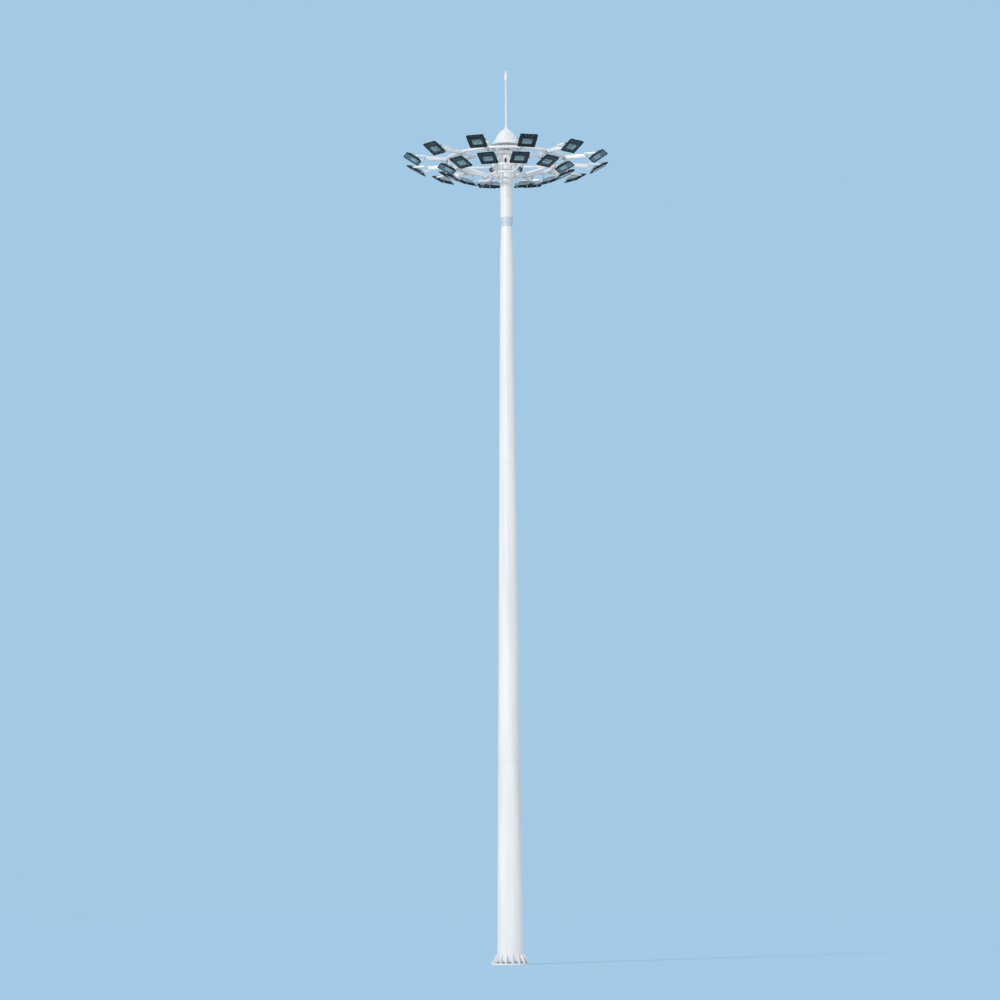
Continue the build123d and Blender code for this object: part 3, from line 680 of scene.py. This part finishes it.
lampParts = [makeHousing(lampSet), makeFins(lampSet), makeFrontFrame(lampSet),
             *makeLatches(lampSet, latchSet), *makeInside(lampSet), *makeBosses(lampSet, glandSet)]
lampMaster = joinPieces("lampMaster", lampParts)
editStart()
selectAll()
bpy.ops.mesh.dissolve_degenerate(threshold=0.00002)
editEnd()
glassMaster = makeGlass(lampSet)
print("floodlight modelled,", len(lampMaster.data.polygons), "faces")

lampAims = {"outer": 60, "inner": 65}  # degrees below level


def outwardsOf(joint):
    # level, from the mast's axis to the joint
    x, y = joint["pos_m"][:2]
    return Vector((x, y, 0)).normalized()


def jointPlace(joint, towards):
    # X along the pivot and Z along the given direction
    pivot = -Vector(joint["axis"])
    turn = Matrix((pivot, towards.cross(pivot), towards)).transposed()
    return Matrix.Translation(joint["pos_m"]) @ turn.to_4x4()


def lampPlace(joint, aim):
    drop = math.radians(aim)
    return jointPlace(joint, outwardsOf(joint) * math.cos(drop) - Vector((0, 0, math.sin(drop))))


lampNumbers = range(1, 13)
for row, aim in lampAims.items():
    for number in lampNumbers:
        body = f"{row}_lamp_{number:02d}"
        place = lampPlace(joints[body], aim)
        finishPiece(placedCopy(lampMaster, place, f"{row}_lamp_housing_{number:02d}"), body, "lamp_body",
                    f"{row}_floodlight_{number:02d}")
        finishPiece(placedCopy(glassMaster, place, f"{row}_lamp_glass_{number:02d}"), body, "lamp_body")
print("floodlights placed")


# yokes, flat bar bent to a U with rounded tips, bolted at the pivots and at the arm

yokeSet = {"halfWidth": 0.295, "thickness": 0.008, "width": 0.050, "tip": 0.030, "bend": 0.022,
           "outerReach": 0.360}


def makeYoke(s, reach):
    # drawn with its legs down Z, the pivots on the X axis and the back at the reach
    bar = addFlat(s["thickness"], s["width"], (-s["halfWidth"], 0, -s["tip"]))
    shoulder = reach - s["thickness"] - s["bend"]
    inwards = s["halfWidth"] - s["thickness"] / 2 - s["bend"]
    editStart()
    selectAll()
    pullOut(0, 0, shoulder + s["tip"])
    bpy.ops.mesh.spin(steps=6, angle=-math.pi / 2, center=(-inwards, 0, shoulder), axis=(0, 1, 0))
    pullOut(2 * inwards, 0, 0)
    bpy.ops.mesh.spin(steps=6, angle=-math.pi / 2, center=(inwards, 0, shoulder), axis=(0, 1, 0))
    pullOut(0, 0, -shoulder - s["tip"])
    mergeAndPoint()
    pick("edges", lambda edge: all(abs(v.co.z + s["tip"]) < 0.001 for v in edge.verts)
         and abs(edge.verts[0].co.y - edge.verts[1].co.y) < 0.001)
    bpy.ops.mesh.bevel(offset=s["width"] * 0.45, segments=5, affect="EDGES")
    editEnd()
    softenEdges(0.0015, 2, 50)
    smoothShade(30)
    paint(bar, whitePaint)
    outside = s["halfWidth"] + s["thickness"] / 2
    bolts = addBolts("bolt", [((side * outside, 0, 0), (side, 0, 0)) for side in (-1, 1)]
                     + [((0, 0, reach - s["thickness"]), (0, 0, -1))])
    return joinPieces("yokeMaster", [bar] + bolts)


def yokePlace(joint, upwards):
    # Z goes towards the yoke's back
    return jointPlace(joint, Vector((0, 0, 1)) if upwards else -outwardsOf(joint))


armLow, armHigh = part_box("lamp_arms")
armBottom, armTop = armLow[2], armHigh[2]
innerReach = armBottom - joints["inner_lamp_01"]["pos_m"][2]
for row, reach, upwards in (("outer", yokeSet["outerReach"], False), ("inner", innerReach, True)):
    places = [yokePlace(joints[f"{row}_lamp_{number:02d}"], upwards) for number in lampNumbers]
    finishCopies(f"{row}_yoke_bars", makeYoke(yokeSet, reach), places, "carriage", "mast_paint",
                 f"{row}_yokes")
print("yokes made")


# rings of square tube in three bent lengths, bolted at their flanges

ringSet = {"size": 0.080, "corner": 0.006, "flange": 0.110, "flangeThickness": 0.010, "gap": 0.0003,
           "boltInset": 0.008, "joints": (30, 150, 270), "steps": 40}


def makeRing(name, s, radius, height):
    share = 360 / len(s["joints"])
    gapTurn = math.degrees((s["gap"] / 2 + s["flangeThickness"] / 2) / radius)
    length = addFlat(s["size"], s["size"], (radius, 0, height), axisTurns["Y"])
    editStart()
    selectAll()
    bpy.ops.mesh.bevel(offset=s["corner"], segments=2, affect="VERTICES")
    selectAll()
    sweep = math.radians(share - 2 * gapTurn)
    bpy.ops.mesh.spin(steps=s["steps"], angle=sweep, center=(0, 0, 0), axis=(0, 0, 1))
    mergeAndPoint()
    editEnd()
    smoothShade(35)
    paint(length, whitePaint)
    parts = []
    for turn in s["joints"]:
        parts.append(placedCopy(length, turned(turn + gapTurn)))
        for side in (-1, 1):
            plate = addBox((s["flange"], s["flangeThickness"], s["flange"]),
                           (radius, side * (s["flangeThickness"] + s["gap"]) / 2, height), 0.0015, whitePaint)
            plate.data.transform(turned(turn))
            parts.append(plate)
            seat = side * (s["flangeThickness"] + s["gap"] / 2)
            inset = s["flange"] / 2 - s["boltInset"]
            places = [((radius + x * inset, seat, height + z * inset), (0, side, 0))
                      for x in (-1, 1) for z in (-1, 1)]
            parts += boltsAtTurns("smallBolt", [turn], places)
    bpy.data.objects.remove(length)
    finishPiece(joinPieces(name + "_tube", parts), "carriage", "mast_paint", name)


# lamp arms: a tongue between the rings, the full depth outside them, bolts down both its sides

armSet = {"width": 0.060, "soft": 0.005, "tongue": 0.040, "step": 1.9293, "inner": 1.490, "outer": 2.620,
          "endPlate": 0.008, "plateLap": 0.015, "plateDrop": 0.006}
clampSet = {"rod": 0.004, "halfSpan": 0.036, "bend": 0.008, "spare": 0.022, "outerOffset": 0.031,
            "innerOffset": 0.024, "nutScale": 1.1}


def makeArm(s, bottom, top):
    middle = (top + bottom) / 2
    length, depth = s["outer"] - s["step"], top - bottom
    arm = addBox((length, s["width"], depth), ((s["outer"] + s["step"]) / 2, 0, middle))
    editStart()
    selectAll()
    bpy.ops.mesh.bisect(plane_co=(0, 0, bottom + s["tongue"]), plane_no=(0, 0, 1))
    pick("faces", lambda face: face.normal.x < -0.9 and middleOf(face).z < bottom + s["tongue"])
    pullOut(s["inner"] - s["step"], 0, 0)
    editEnd()
    softenEdges(s["soft"], 3)
    smoothShade(30)
    paint(arm, whitePaint)
    plate = addBox((s["endPlate"], s["width"] + 2 * s["plateLap"], depth - 2 * s["plateDrop"]),
                   (s["outer"] - s["endPlate"] / 2, 0, middle), 0.002, whitePaint)
    return joinPieces("armMaster", [arm, plate])


def makeUBolt(s, grip):
    # round bar with its legs down Z through the ring, drawn from the tongue's face
    # the bends turn back below that face, so the bar between the legs lies inside the tongue
    deselectAll()
    half, high, low = s["halfSpan"], s["rod"], -grip - s["spare"]
    inwards, shoulder = half - s["bend"], high - s["bend"]
    foot = (0, -half, low)
    bpy.ops.mesh.primitive_circle_add(vertices=10, radius=s["rod"], fill_type="NGON", location=foot)
    setPlace()
    editStart()
    selectAll()
    pullOut(0, 0, shoulder - low)
    bpy.ops.mesh.spin(steps=4, angle=math.pi / 2, center=(0, -inwards, shoulder), axis=(-1, 0, 0))
    pullOut(0, 2 * inwards, 0)
    bpy.ops.mesh.spin(steps=4, angle=math.pi / 2, center=(0, inwards, shoulder), axis=(-1, 0, 0))
    pullOut(0, 0, low - shoulder)
    mergeAndPoint()
    editEnd()
    bar = bpy.context.object
    smoothShade(50)
    paint(bar, zincSteel)
    downwards = Matrix.Rotation(math.pi, 4, "X") @ Matrix.Scale(s["nutScale"], 4)
    nuts = [placedCopy(masters["smallBolt"], Matrix.Translation((0, side * half, -grip)) @ downwards)
            for side in (-1, 1)]
    return joinPieces("uBoltMaster", [bar] + nuts)


armTurns = [15 + 30 * k for k in range(12)]
finishCopies("lamp_arm_bars", makeArm(armSet, armBottom, armTop), [turned(turn) for turn in armTurns],
             "carriage", "mast_paint", "lamp_arms")

ringRadius = {}
for name in ("inner_ring", "outer_ring"):
    low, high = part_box(name)
    ringRadius[name] = high[1] - ringSet["size"] / 2  # no flange stands at +Y
    makeRing(name, ringSet, ringRadius[name], (low[2] + high[2]) / 2)

tongueTop = armBottom + armSet["tongue"]
places = []
for turn in armTurns:
    for side in (-1, 1):
        over = outAt(turn, ringRadius["inner_ring"] + side * clampSet["innerOffset"], tongueTop)
        under = outAt(turn, ringRadius["outer_ring"] + side * clampSet["outerOffset"], armBottom)
        places += [over, under @ Matrix.Rotation(math.pi, 4, "X")]
uBolt = makeUBolt(clampSet, armSet["tongue"] + ringSet["size"])
finishCopies("ring_clamps", uBolt, places, "carriage", "galvanised_steel")
print("arms, rings and clamps made")

# head: bell hood, lightning rod, sheaves and ropes

hoodSet = {"crown": (0.040, 0.590), "shoulder": (0.245, 0.415), "waist": (0.340, 0.245),
           "flare": (0.430, 0.110), "rim": (0.562, 0.004), "wall": 0.004, "bead": 0.005,
           "beadShift": 0.001, "steps": 96}


def makeHood(s, base):
    # spun sheet: two arcs from the crown to the rim, given a wall, with a rolled bead round the rim
    upper = arcPoints(s["crown"], s["shoulder"], s["waist"], 16)
    lower = arcPoints(s["waist"], s["flare"], s["rim"], 10)
    outline = [(radius, base + height) for radius, height in upper + lower[1:]]
    shell = addTurned(outline, s["steps"], smooth=0)
    addModifier("SOLIDIFY", thickness=s["wall"], offset=-1)
    smoothShade(50)
    paint(shell, whitePaint)
    radius, height = s["rim"]
    radius, height = radius - s["beadShift"], base + height + s["beadShift"]
    bead = [(radius + s["bead"] * math.cos(a), height + s["bead"] * math.sin(a))
            for a in [math.tau * k / 8 for k in range(9)]]
    roll = addTurned(bead, s["steps"], whitePaint, 80)
    finishPiece(joinPieces("bell_hood", [shell, roll]), "mast", "mast_paint", "rain_hood")


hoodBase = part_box("rain_hood")[0][2] + hoodSet["wall"]
makeHood(hoodSet, hoodBase)

rodSet = {"radius": 0.032, "tip": 0.052, "tipLength": 0.350, "point": 0.026, "pointLength": 0.120,
          "steps": 32}


def makeRod(s, bottom, top):
    # turned rod: plain shank, coned shoulder, thicker head with eased rims and a rounded point
    shoulder = top - s["tipLength"]
    outline = [(0, bottom), (s["radius"] - 0.003, bottom), (s["radius"], bottom + 0.003),
               (s["radius"], shoulder),
               (s["tip"] - 0.003, shoulder + s["tip"] - 0.004), (s["tip"], shoulder + s["tip"]),
               (s["tip"], top - s["pointLength"] - 0.006), (s["tip"] - 0.004, top - s["pointLength"]),
               (s["point"], top - s["point"] - 0.004), (s["point"] * 0.75, top - s["point"] * 0.45),
               (s["point"] * 0.4, top - s["point"] * 0.1), (0, top)]
    rod = addTurned(outline, s["steps"], whitePaint)
    finishPiece(joinPieces("turned_lightning_rod", [rod]), "mast", "mast_paint", "lightning_rod")


rodLow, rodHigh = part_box("lightning_rod")
makeRod(rodSet, rodLow[2], rodHigh[2])

sheaveSet = {"bore": 0.0143, "hub": 0.030, "web": 0.006, "rimInner": 0.064, "radius": 0.088, "root": 0.0737,
             "width": 0.032, "reaches": (0.405, 0.150), "height": 25.412, "turns": (90, 210, 330),
             "steps": 40}


def makeSheave(s):
    half, web = s["width"] / 2, s["web"]
    side = [(s["bore"], half), (s["hub"], half), (s["hub"] + 0.004, web), (s["rimInner"] - 0.004, web),
            (s["rimInner"], half - 0.002), (s["radius"] - 0.002, half), (s["radius"], half - 0.002)]
    groove = [(s["root"] + 0.0005, 0.0064), (s["root"], 0.003)]
    upper = side + groove
    outline = upper + [(radius, -height) for radius, height in reversed(upper)] + [upper[0]]
    sheave = addTurned(outline, s["steps"], zincSteel)
    sheave.data.transform(Matrix.Rotation(math.pi / 2, 4, "X"))
    return sheave


places = [outAt(turn, reach, sheaveSet["height"])
          for turn in sheaveSet["turns"] for reach in sheaveSet["reaches"]]
finishCopies("turned_sheaves", makeSheave(sheaveSet), places, "mast", "galvanised_steel", "head_sheaves")

ropeSet = {"radius": 0.006, "strand": 0.0021, "strands": 6, "reach": 0.485, "lay": 0.090, "stepsPerTurn": 14}


def makeRope(s, bottom, top):
    # six strands: a lobed outline twisted up the rope by the screw modifier
    deselectAll()
    corners = s["strands"] * 4
    bpy.ops.mesh.primitive_circle_add(vertices=corners, radius=s["radius"], fill_type="NOTHING",
                                      location=(0, 0, bottom))
    setPlace()
    editStart()
    shape = bmesh.from_edit_mesh(bpy.context.object.data)
    for vert in shape.verts:
        turn = math.atan2(vert.co.y, vert.co.x)
        hollow = 0.5 - 0.5 * math.cos(s["strands"] * turn)
        vert.co.xy = vert.co.xy * (1 - s["strand"] / s["radius"] * hollow)
    bmesh.update_edit_mesh(bpy.context.object.data)
    editEnd()
    turns = (top - bottom) / s["lay"]
    steps = int(turns * s["stepsPerTurn"])
    addModifier("SCREW", angle=math.tau * turns, screw_offset=top - bottom, iterations=1, axis="Z",
                steps=steps, render_steps=steps, use_smooth_shade=True)
    editStart()
    bpy.ops.mesh.select_mode(type="EDGE")
    bpy.ops.mesh.select_all(action="DESELECT")
    bpy.ops.mesh.select_non_manifold()  # both open ends
    bpy.ops.mesh.fill()
    mergeAndPoint()
    editEnd()
    paint(bpy.context.object, wireRope)
    return bpy.context.object


ropeLow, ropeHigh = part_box("hoist_ropes")
ropeMaster = makeRope(ropeSet, ropeLow[2], ropeHigh[2])
ropes = [placedCopy(ropeMaster, outAt(turn, ropeSet["reach"])) for turn in sheaveSet["turns"]]
bpy.data.objects.remove(ropeMaster)
strandedRopes = joinPieces("stranded_hoist_ropes", ropes)
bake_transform(strandedRopes)
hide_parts("hoist_ropes")
print("hood, rod, sheaves and ropes made")


# hub: guide rollers, and the bolts and ferrules that finish the collars

rollerSet = {"radius": 0.075, "crown": 0.004, "width": 0.044, "bore": 0.0123, "boss": 0.024, "dish": 0.042,
             "dishDepth": 0.006, "hub": 0.048, "reach": 0.525,
             "upperTurns": (30, 150, 270), "lowerTurns": (90, 210, 330), "steps": 40}


def makeRoller(s):
    half, rim = s["width"] / 2, s["radius"] - s["crown"]
    crown = arcPoints((rim, half), (s["radius"], 0), (rim, -half), 6)
    outline = [(s["hub"], -half), (s["hub"], half)] + crown + [(s["hub"], -half)]
    tyre = addTurned(outline, s["steps"], blackTyre)
    dish = half - s["dishDepth"]
    side = [(s["bore"], half), (s["boss"], half), (s["boss"] + 0.002, dish + 0.003), (s["dish"], dish),
            (s["hub"] - 0.0002, half - 0.001)]
    hub = addTurned(side + [(r, -h) for r, h in reversed(side)] + [side[0]], s["steps"], zincSteel)
    roller = joinPieces("rollerMaster", [tyre, hub])
    roller.data.transform(Matrix.Rotation(math.pi / 2, 4, "X"))
    return roller


rollerLow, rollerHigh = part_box("guide_rollers")
rollerRows = ((rollerSet["upperTurns"], rollerHigh[2] - rollerSet["radius"]),
              (rollerSet["lowerTurns"], rollerLow[2] + rollerSet["radius"]))
places = [outAt(turn, rollerSet["reach"], height) for turns, height in rollerRows for turn in turns]
finishCopies("guide_wheels", makeRoller(rollerSet), places, "carriage", "roller_rubber", "guide_rollers")

# bolts through the roller brackets and the spokes, and the ropes' ferrules
hubSet = {"bracketFace": 0.034, "spokeBolts": (1.512, 1.548), "spokeLow": 24.800,
          "ferrule": (0.017, 0.009, 0.042), "socketTop": 24.905}
hubParts = []
for turns, height in rollerRows:
    places = [((rollerSet["reach"], side * hubSet["bracketFace"], height), (0, side, 0)) for side in (-1, 1)]
    hubParts += boltsAtTurns("bolt", turns, places)
places = [((reach, 0, hubSet["spokeLow"]), (0, 0, -1)) for reach in hubSet["spokeBolts"]]
hubParts += boltsAtTurns("bolt", range(0, 360, 60), places)
wide, narrow, rise = hubSet["ferrule"]
low = hubSet["socketTop"]
for turn in sheaveSet["turns"]:
    ferrule = addTurned([(0, low), (wide - 0.002, low), (wide, low + 0.003), (wide, low + rise * 0.4),
                         (narrow, low + rise - 0.002), (narrow - 0.001, low + rise), (0, low + rise)],
                        24, zincSteel)
    ferrule.data.transform(outAt(turn, ropeSet["reach"]))
    hubParts.append(ferrule)
finishPiece(joinPieces("hub_bolts", hubParts), "carriage", "galvanised_steel")
print("hub made")


# foot: anchor bolts with nuts and washers, and the weld round the mast

footSet = {"boltCircle": 0.505, "count": 16, "nutWidth": 0.055, "nutLift": 0.007, "nut": 0.029,
           "lockNut": 0.018, "washerRadius": 0.034, "washer": 0.006, "stud": 0.018, "studRise": 0.070,
           "plate": 0.040, "shaft": 0.4074, "weld": 0.008}


def makeAnchors(s):
    radius, top = s["nutWidth"] * hexRadius, s["nutLift"] + s["nut"]
    parts = [addRound(radius, s["nut"], (0, 0, top - s["nut"] / 2), "Z", 6, 0.002, zincSteel),
             addRound(s["washerRadius"], s["washer"], (0, 0, s["washer"] / 2), "Z", 24, 0.001, zincSteel),
             addRound(radius, s["lockNut"], (0, 0, top + s["lockNut"] / 2), "Z", 6, 0.002, zincSteel),
             addRound(s["stud"], s["studRise"], (0, 0, s["studRise"] / 2), "Z", 16, 0.002, zincSteel)]
    places = [outAt(360 * k / s["count"], s["boltCircle"], s["plate"]) for k in range(s["count"])]
    finishCopies("anchor_nuts", joinPieces("anchorMaster", parts), places, "mast", "galvanised_steel")


# the joint under the head sleeve: a rolled zinc band, stepped from the neck out over the sleeve and screwed; its
# pale blue-grey is painted shade for the shadow band there
bandSet = {"neck": 0.1803, "sleeve": 0.1956, "sheet": 0.0028, "low": 22.905, "step": 23.047, "high": 23.205,
           "screws": 8, "screwRow": 23.150}


def makeBand(s):
    inside, outside = s["neck"] + s["sheet"], s["sleeve"] + s["sheet"]
    outline = [(s["neck"], s["low"]), (inside, s["low"]), (inside, s["step"] - s["sheet"] * 2),
               (outside, s["step"] - s["sheet"]), (outside, s["high"]), (s["sleeve"], s["high"]),
               (s["sleeve"], s["step"]), (s["neck"], s["step"]), (s["neck"], s["low"])]
    band = addTurned(outline, 64, shadeBandZinc, 0)
    softenEdges(0.0006, 1)
    smoothShade(35)
    turns = [360 * (number + 0.5) / s["screws"] for number in range(s["screws"])]
    screws = boltsAtTurns("smallBolt", turns, [((outside, 0, s["screwRow"]), (1, 0, 0))])
    finishPiece(joinPieces("neck_shadeBandZinc", [band] + screws), "mast", "galvanised_steel")


makeBand(bandSet)

# nuts on the sheave pins, painted sealing beads at the crown and the slip joints, locks on the door
pinSet = {"cheekFace": 0.026}
beadSet = {"crownRadius": 0.0545, "crownDrop": 0.002, "crownSize": 0.007, "inset": 0.0025, "drop": 0.0015,
           "size": 0.004}
lockSet = {"turn": 103.9, "radius": 0.4164, "taper": 0.0096, "middle": 1.0, "offset": 0.3, "rose": 0.022,
           "rise": 0.006, "socket": 0.011, "key": 0.0075}
places = [((reach, side * pinSet["cheekFace"], sheaveSet["height"]), (0, side, 0))
          for reach in sheaveSet["reaches"] for side in (-1, 1)]
pinNuts = boltsAtTurns("bolt", sheaveSet["turns"], places)
finishPiece(joinPieces("sheave_pin_nuts", pinNuts), "mast", "galvanised_steel")

crownHeight = hoodBase + hoodSet["crown"][1] - beadSet["crownDrop"]
beads = [addBead(beadSet["crownRadius"], crownHeight, beadSet["crownSize"], 48, whitePaint)]
for name in ("mast_middle", "mast_upper"):
    low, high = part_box(name)
    radius, height = high[0] - beadSet["inset"], low[2] - beadSet["drop"]
    beads.append(addBead(radius, height, beadSet["size"], 96, whitePaint))
finishPiece(joinPieces("sealing_beads", beads), "mast", "mast_paint")


def makeLock(s, height):
    # round escutcheon on the leaf with a three-sided key inside its rim, drawn up Z and stood on the leaf
    wide, high, socket = s["rose"], s["rise"], s["socket"]
    rose = addTurned([(0, 0), (wide - 0.001, 0), (wide, 0.001), (wide - 0.003, high), (socket, high),
                      (socket - 0.001, high - 0.004), (0, high - 0.004)], 32, stainless)
    key = addRound(s["key"], high - 0.002, (0, 0, high / 2), "Z", 3, 0.0008, stainless)
    lock = joinPieces("lock", [rose, key])
    reach = s["radius"] - s["taper"] * (height - s["middle"])
    lock.data.transform(turned(s["turn"]) @ putAt((reach, 0, height), (1, 0, 0)))
    return lock


locks = [makeLock(lockSet, lockSet["middle"] + side * lockSet["offset"]) for side in (-1, 1)]
finishPiece(joinPieces("door_locks", locks), "mast", "galvanised_steel")

makeAnchors(footSet)
footBead = addBead(footSet["shaft"], footSet["plate"] + footSet["weld"] / 2, footSet["weld"], 72, whitePaint)
finishPiece(joinPieces("foot_weld", [footBead]), "mast", "mast_paint")
print("foot made")

for master in (lampMaster, glassMaster, *masters.values()):
    bpy.data.objects.remove(master)

# steelwork whose CAD shape is right: a merged copy with its edges eased stands for each node
easedEdges = {"spokes": 0.004, "spoke_braces": 0.003, "hub_posts": 0.004, "hub_collars": 0.003,
              "docking_arms": 0.003, "guide_brackets": 0.0015, "head_frame": 0.002, "base_plate": 0.003,
              "base_gussets": 0.0025, "door_frame": 0.0015, "access_door": 0.002}
for name, width in easedEdges.items():
    node = frame["nodes"][name]
    body = next(body for body, nodes in record["behaviour"]["bodies"].items() if name in nodes)
    subpart = next(subpart for subpart in record["subparts"] if subpart["node"] == name)
    eased = placedCopy(node, Matrix.Identity(4), name + "_eased")
    select(eased)
    editStart()
    mergeAndPoint()
    bpy.ops.mesh.dissolve_limited(angle_limit=math.radians(1))
    editEnd()
    softenEdges(width, 2, 35)
    smoothShade(40)
    finishPiece(eased, body, subpart["material_slot"], name)
print("steelwork eased")


# camera, light and floor

cameraSet = {"distance": 95.3, "azimuth": 2.4, "eye": 1.6, "lens": 111.53, "pitch": 7.57,
             "yaw": -0.15, "roll": -0.28}
lightSet = {"azimuth": -29, "elevation": 24, "sunStrength": 1.35, "sunAngle": 4,
            "worldStrength": 0.78, "worldColour": "#f6f8fb", "backdrop": "#a3c9e5"}
floorSet = {"radius": 900, "colour": "#abd3ee", "bounce": "#d9dadb"}


def seenRays(tree):
    # 1 for rays that show the background: straight to the camera, in metal or through glass
    rays = tree.nodes.new("ShaderNodeLightPath").outputs
    seen = rays["Is Camera Ray"]
    for other in ("Is Glossy Ray", "Is Transmission Ray"):
        seen = addNode(tree, "ShaderNodeMath", {0: seen, 1: rays[other]}, operation="MAXIMUM").outputs[0]
    return seen


def makeCamera(s):
    turn = math.radians(s["azimuth"])
    away = s["distance"]
    bpy.ops.object.camera_add(location=(away * math.sin(turn), -away * math.cos(turn), s["eye"]))
    camera = bpy.context.object
    camera.data.lens = s["lens"]
    camera.data.clip_end = 3000
    upright = Matrix.Rotation(turn - math.radians(s["yaw"]), 4, "Z")
    tipped = Matrix.Rotation(math.radians(90 + s["pitch"]), 4, "X")
    rolled = Matrix.Rotation(math.radians(s["roll"]), 4, "Z")
    camera.matrix_world = Matrix.Translation(camera.location) @ upright @ tipped @ rolled
    bpy.context.scene.camera = camera


def makeLights(s):
    turn, height = math.radians(s["azimuth"]), math.radians(s["elevation"])
    bpy.ops.object.light_add(type="SUN")
    sun = bpy.context.object
    sun.data.energy = s["sunStrength"]
    sun.data.angle = math.radians(s["sunAngle"])
    level = math.cos(height)
    toSun = Vector((math.sin(turn) * level, -math.cos(turn) * level, math.sin(height)))
    sun.rotation_mode = "QUATERNION"
    sun.rotation_quaternion = toSun.to_track_quat("Z", "Y")
    world = bpy.data.worlds.new("studio")
    bpy.context.scene.world = world
    world.use_nodes = True
    tree = world.node_tree
    tree.nodes.clear()
    light = addNode(tree, "ShaderNodeBackground", {"Color": linearColour(s["worldColour"]),
                                                   "Strength": s["worldStrength"]})
    backdrop = addNode(tree, "ShaderNodeBackground", {"Color": linearColour(s["backdrop"])})
    mixed = addNode(tree, "ShaderNodeMixShader", {0: seenRays(tree), 1: light.outputs[0],
                                                  2: backdrop.outputs[0]})
    addNode(tree, "ShaderNodeOutputWorld", {"Surface": mixed.outputs[0]})


def makeFloor(s):
    deselectAll()
    bpy.ops.mesh.primitive_circle_add(vertices=96, radius=s["radius"], fill_type="NGON")
    floor = bpy.context.object
    floor.name = "floor"
    material, tree, shader, place = newMaterial("plain studio floor",
                                                {"Roughness": 0.9, "Specular IOR Level": 0.1})
    # the light that it throws back on the white paint is grey, so that the paint stays white
    shown = blendColours(tree, seenRays(tree), [(0, s["bounce"]), (1, s["colour"])])
    tree.links.new(shown, shader.inputs["Base Color"])
    paint(floor, material)


makeCamera(cameraSet)
makeLights(lightSet)
makeFloor(floorSet)
bpy.context.scene.view_settings.view_transform = "Standard"
print("camera, light and floor made")
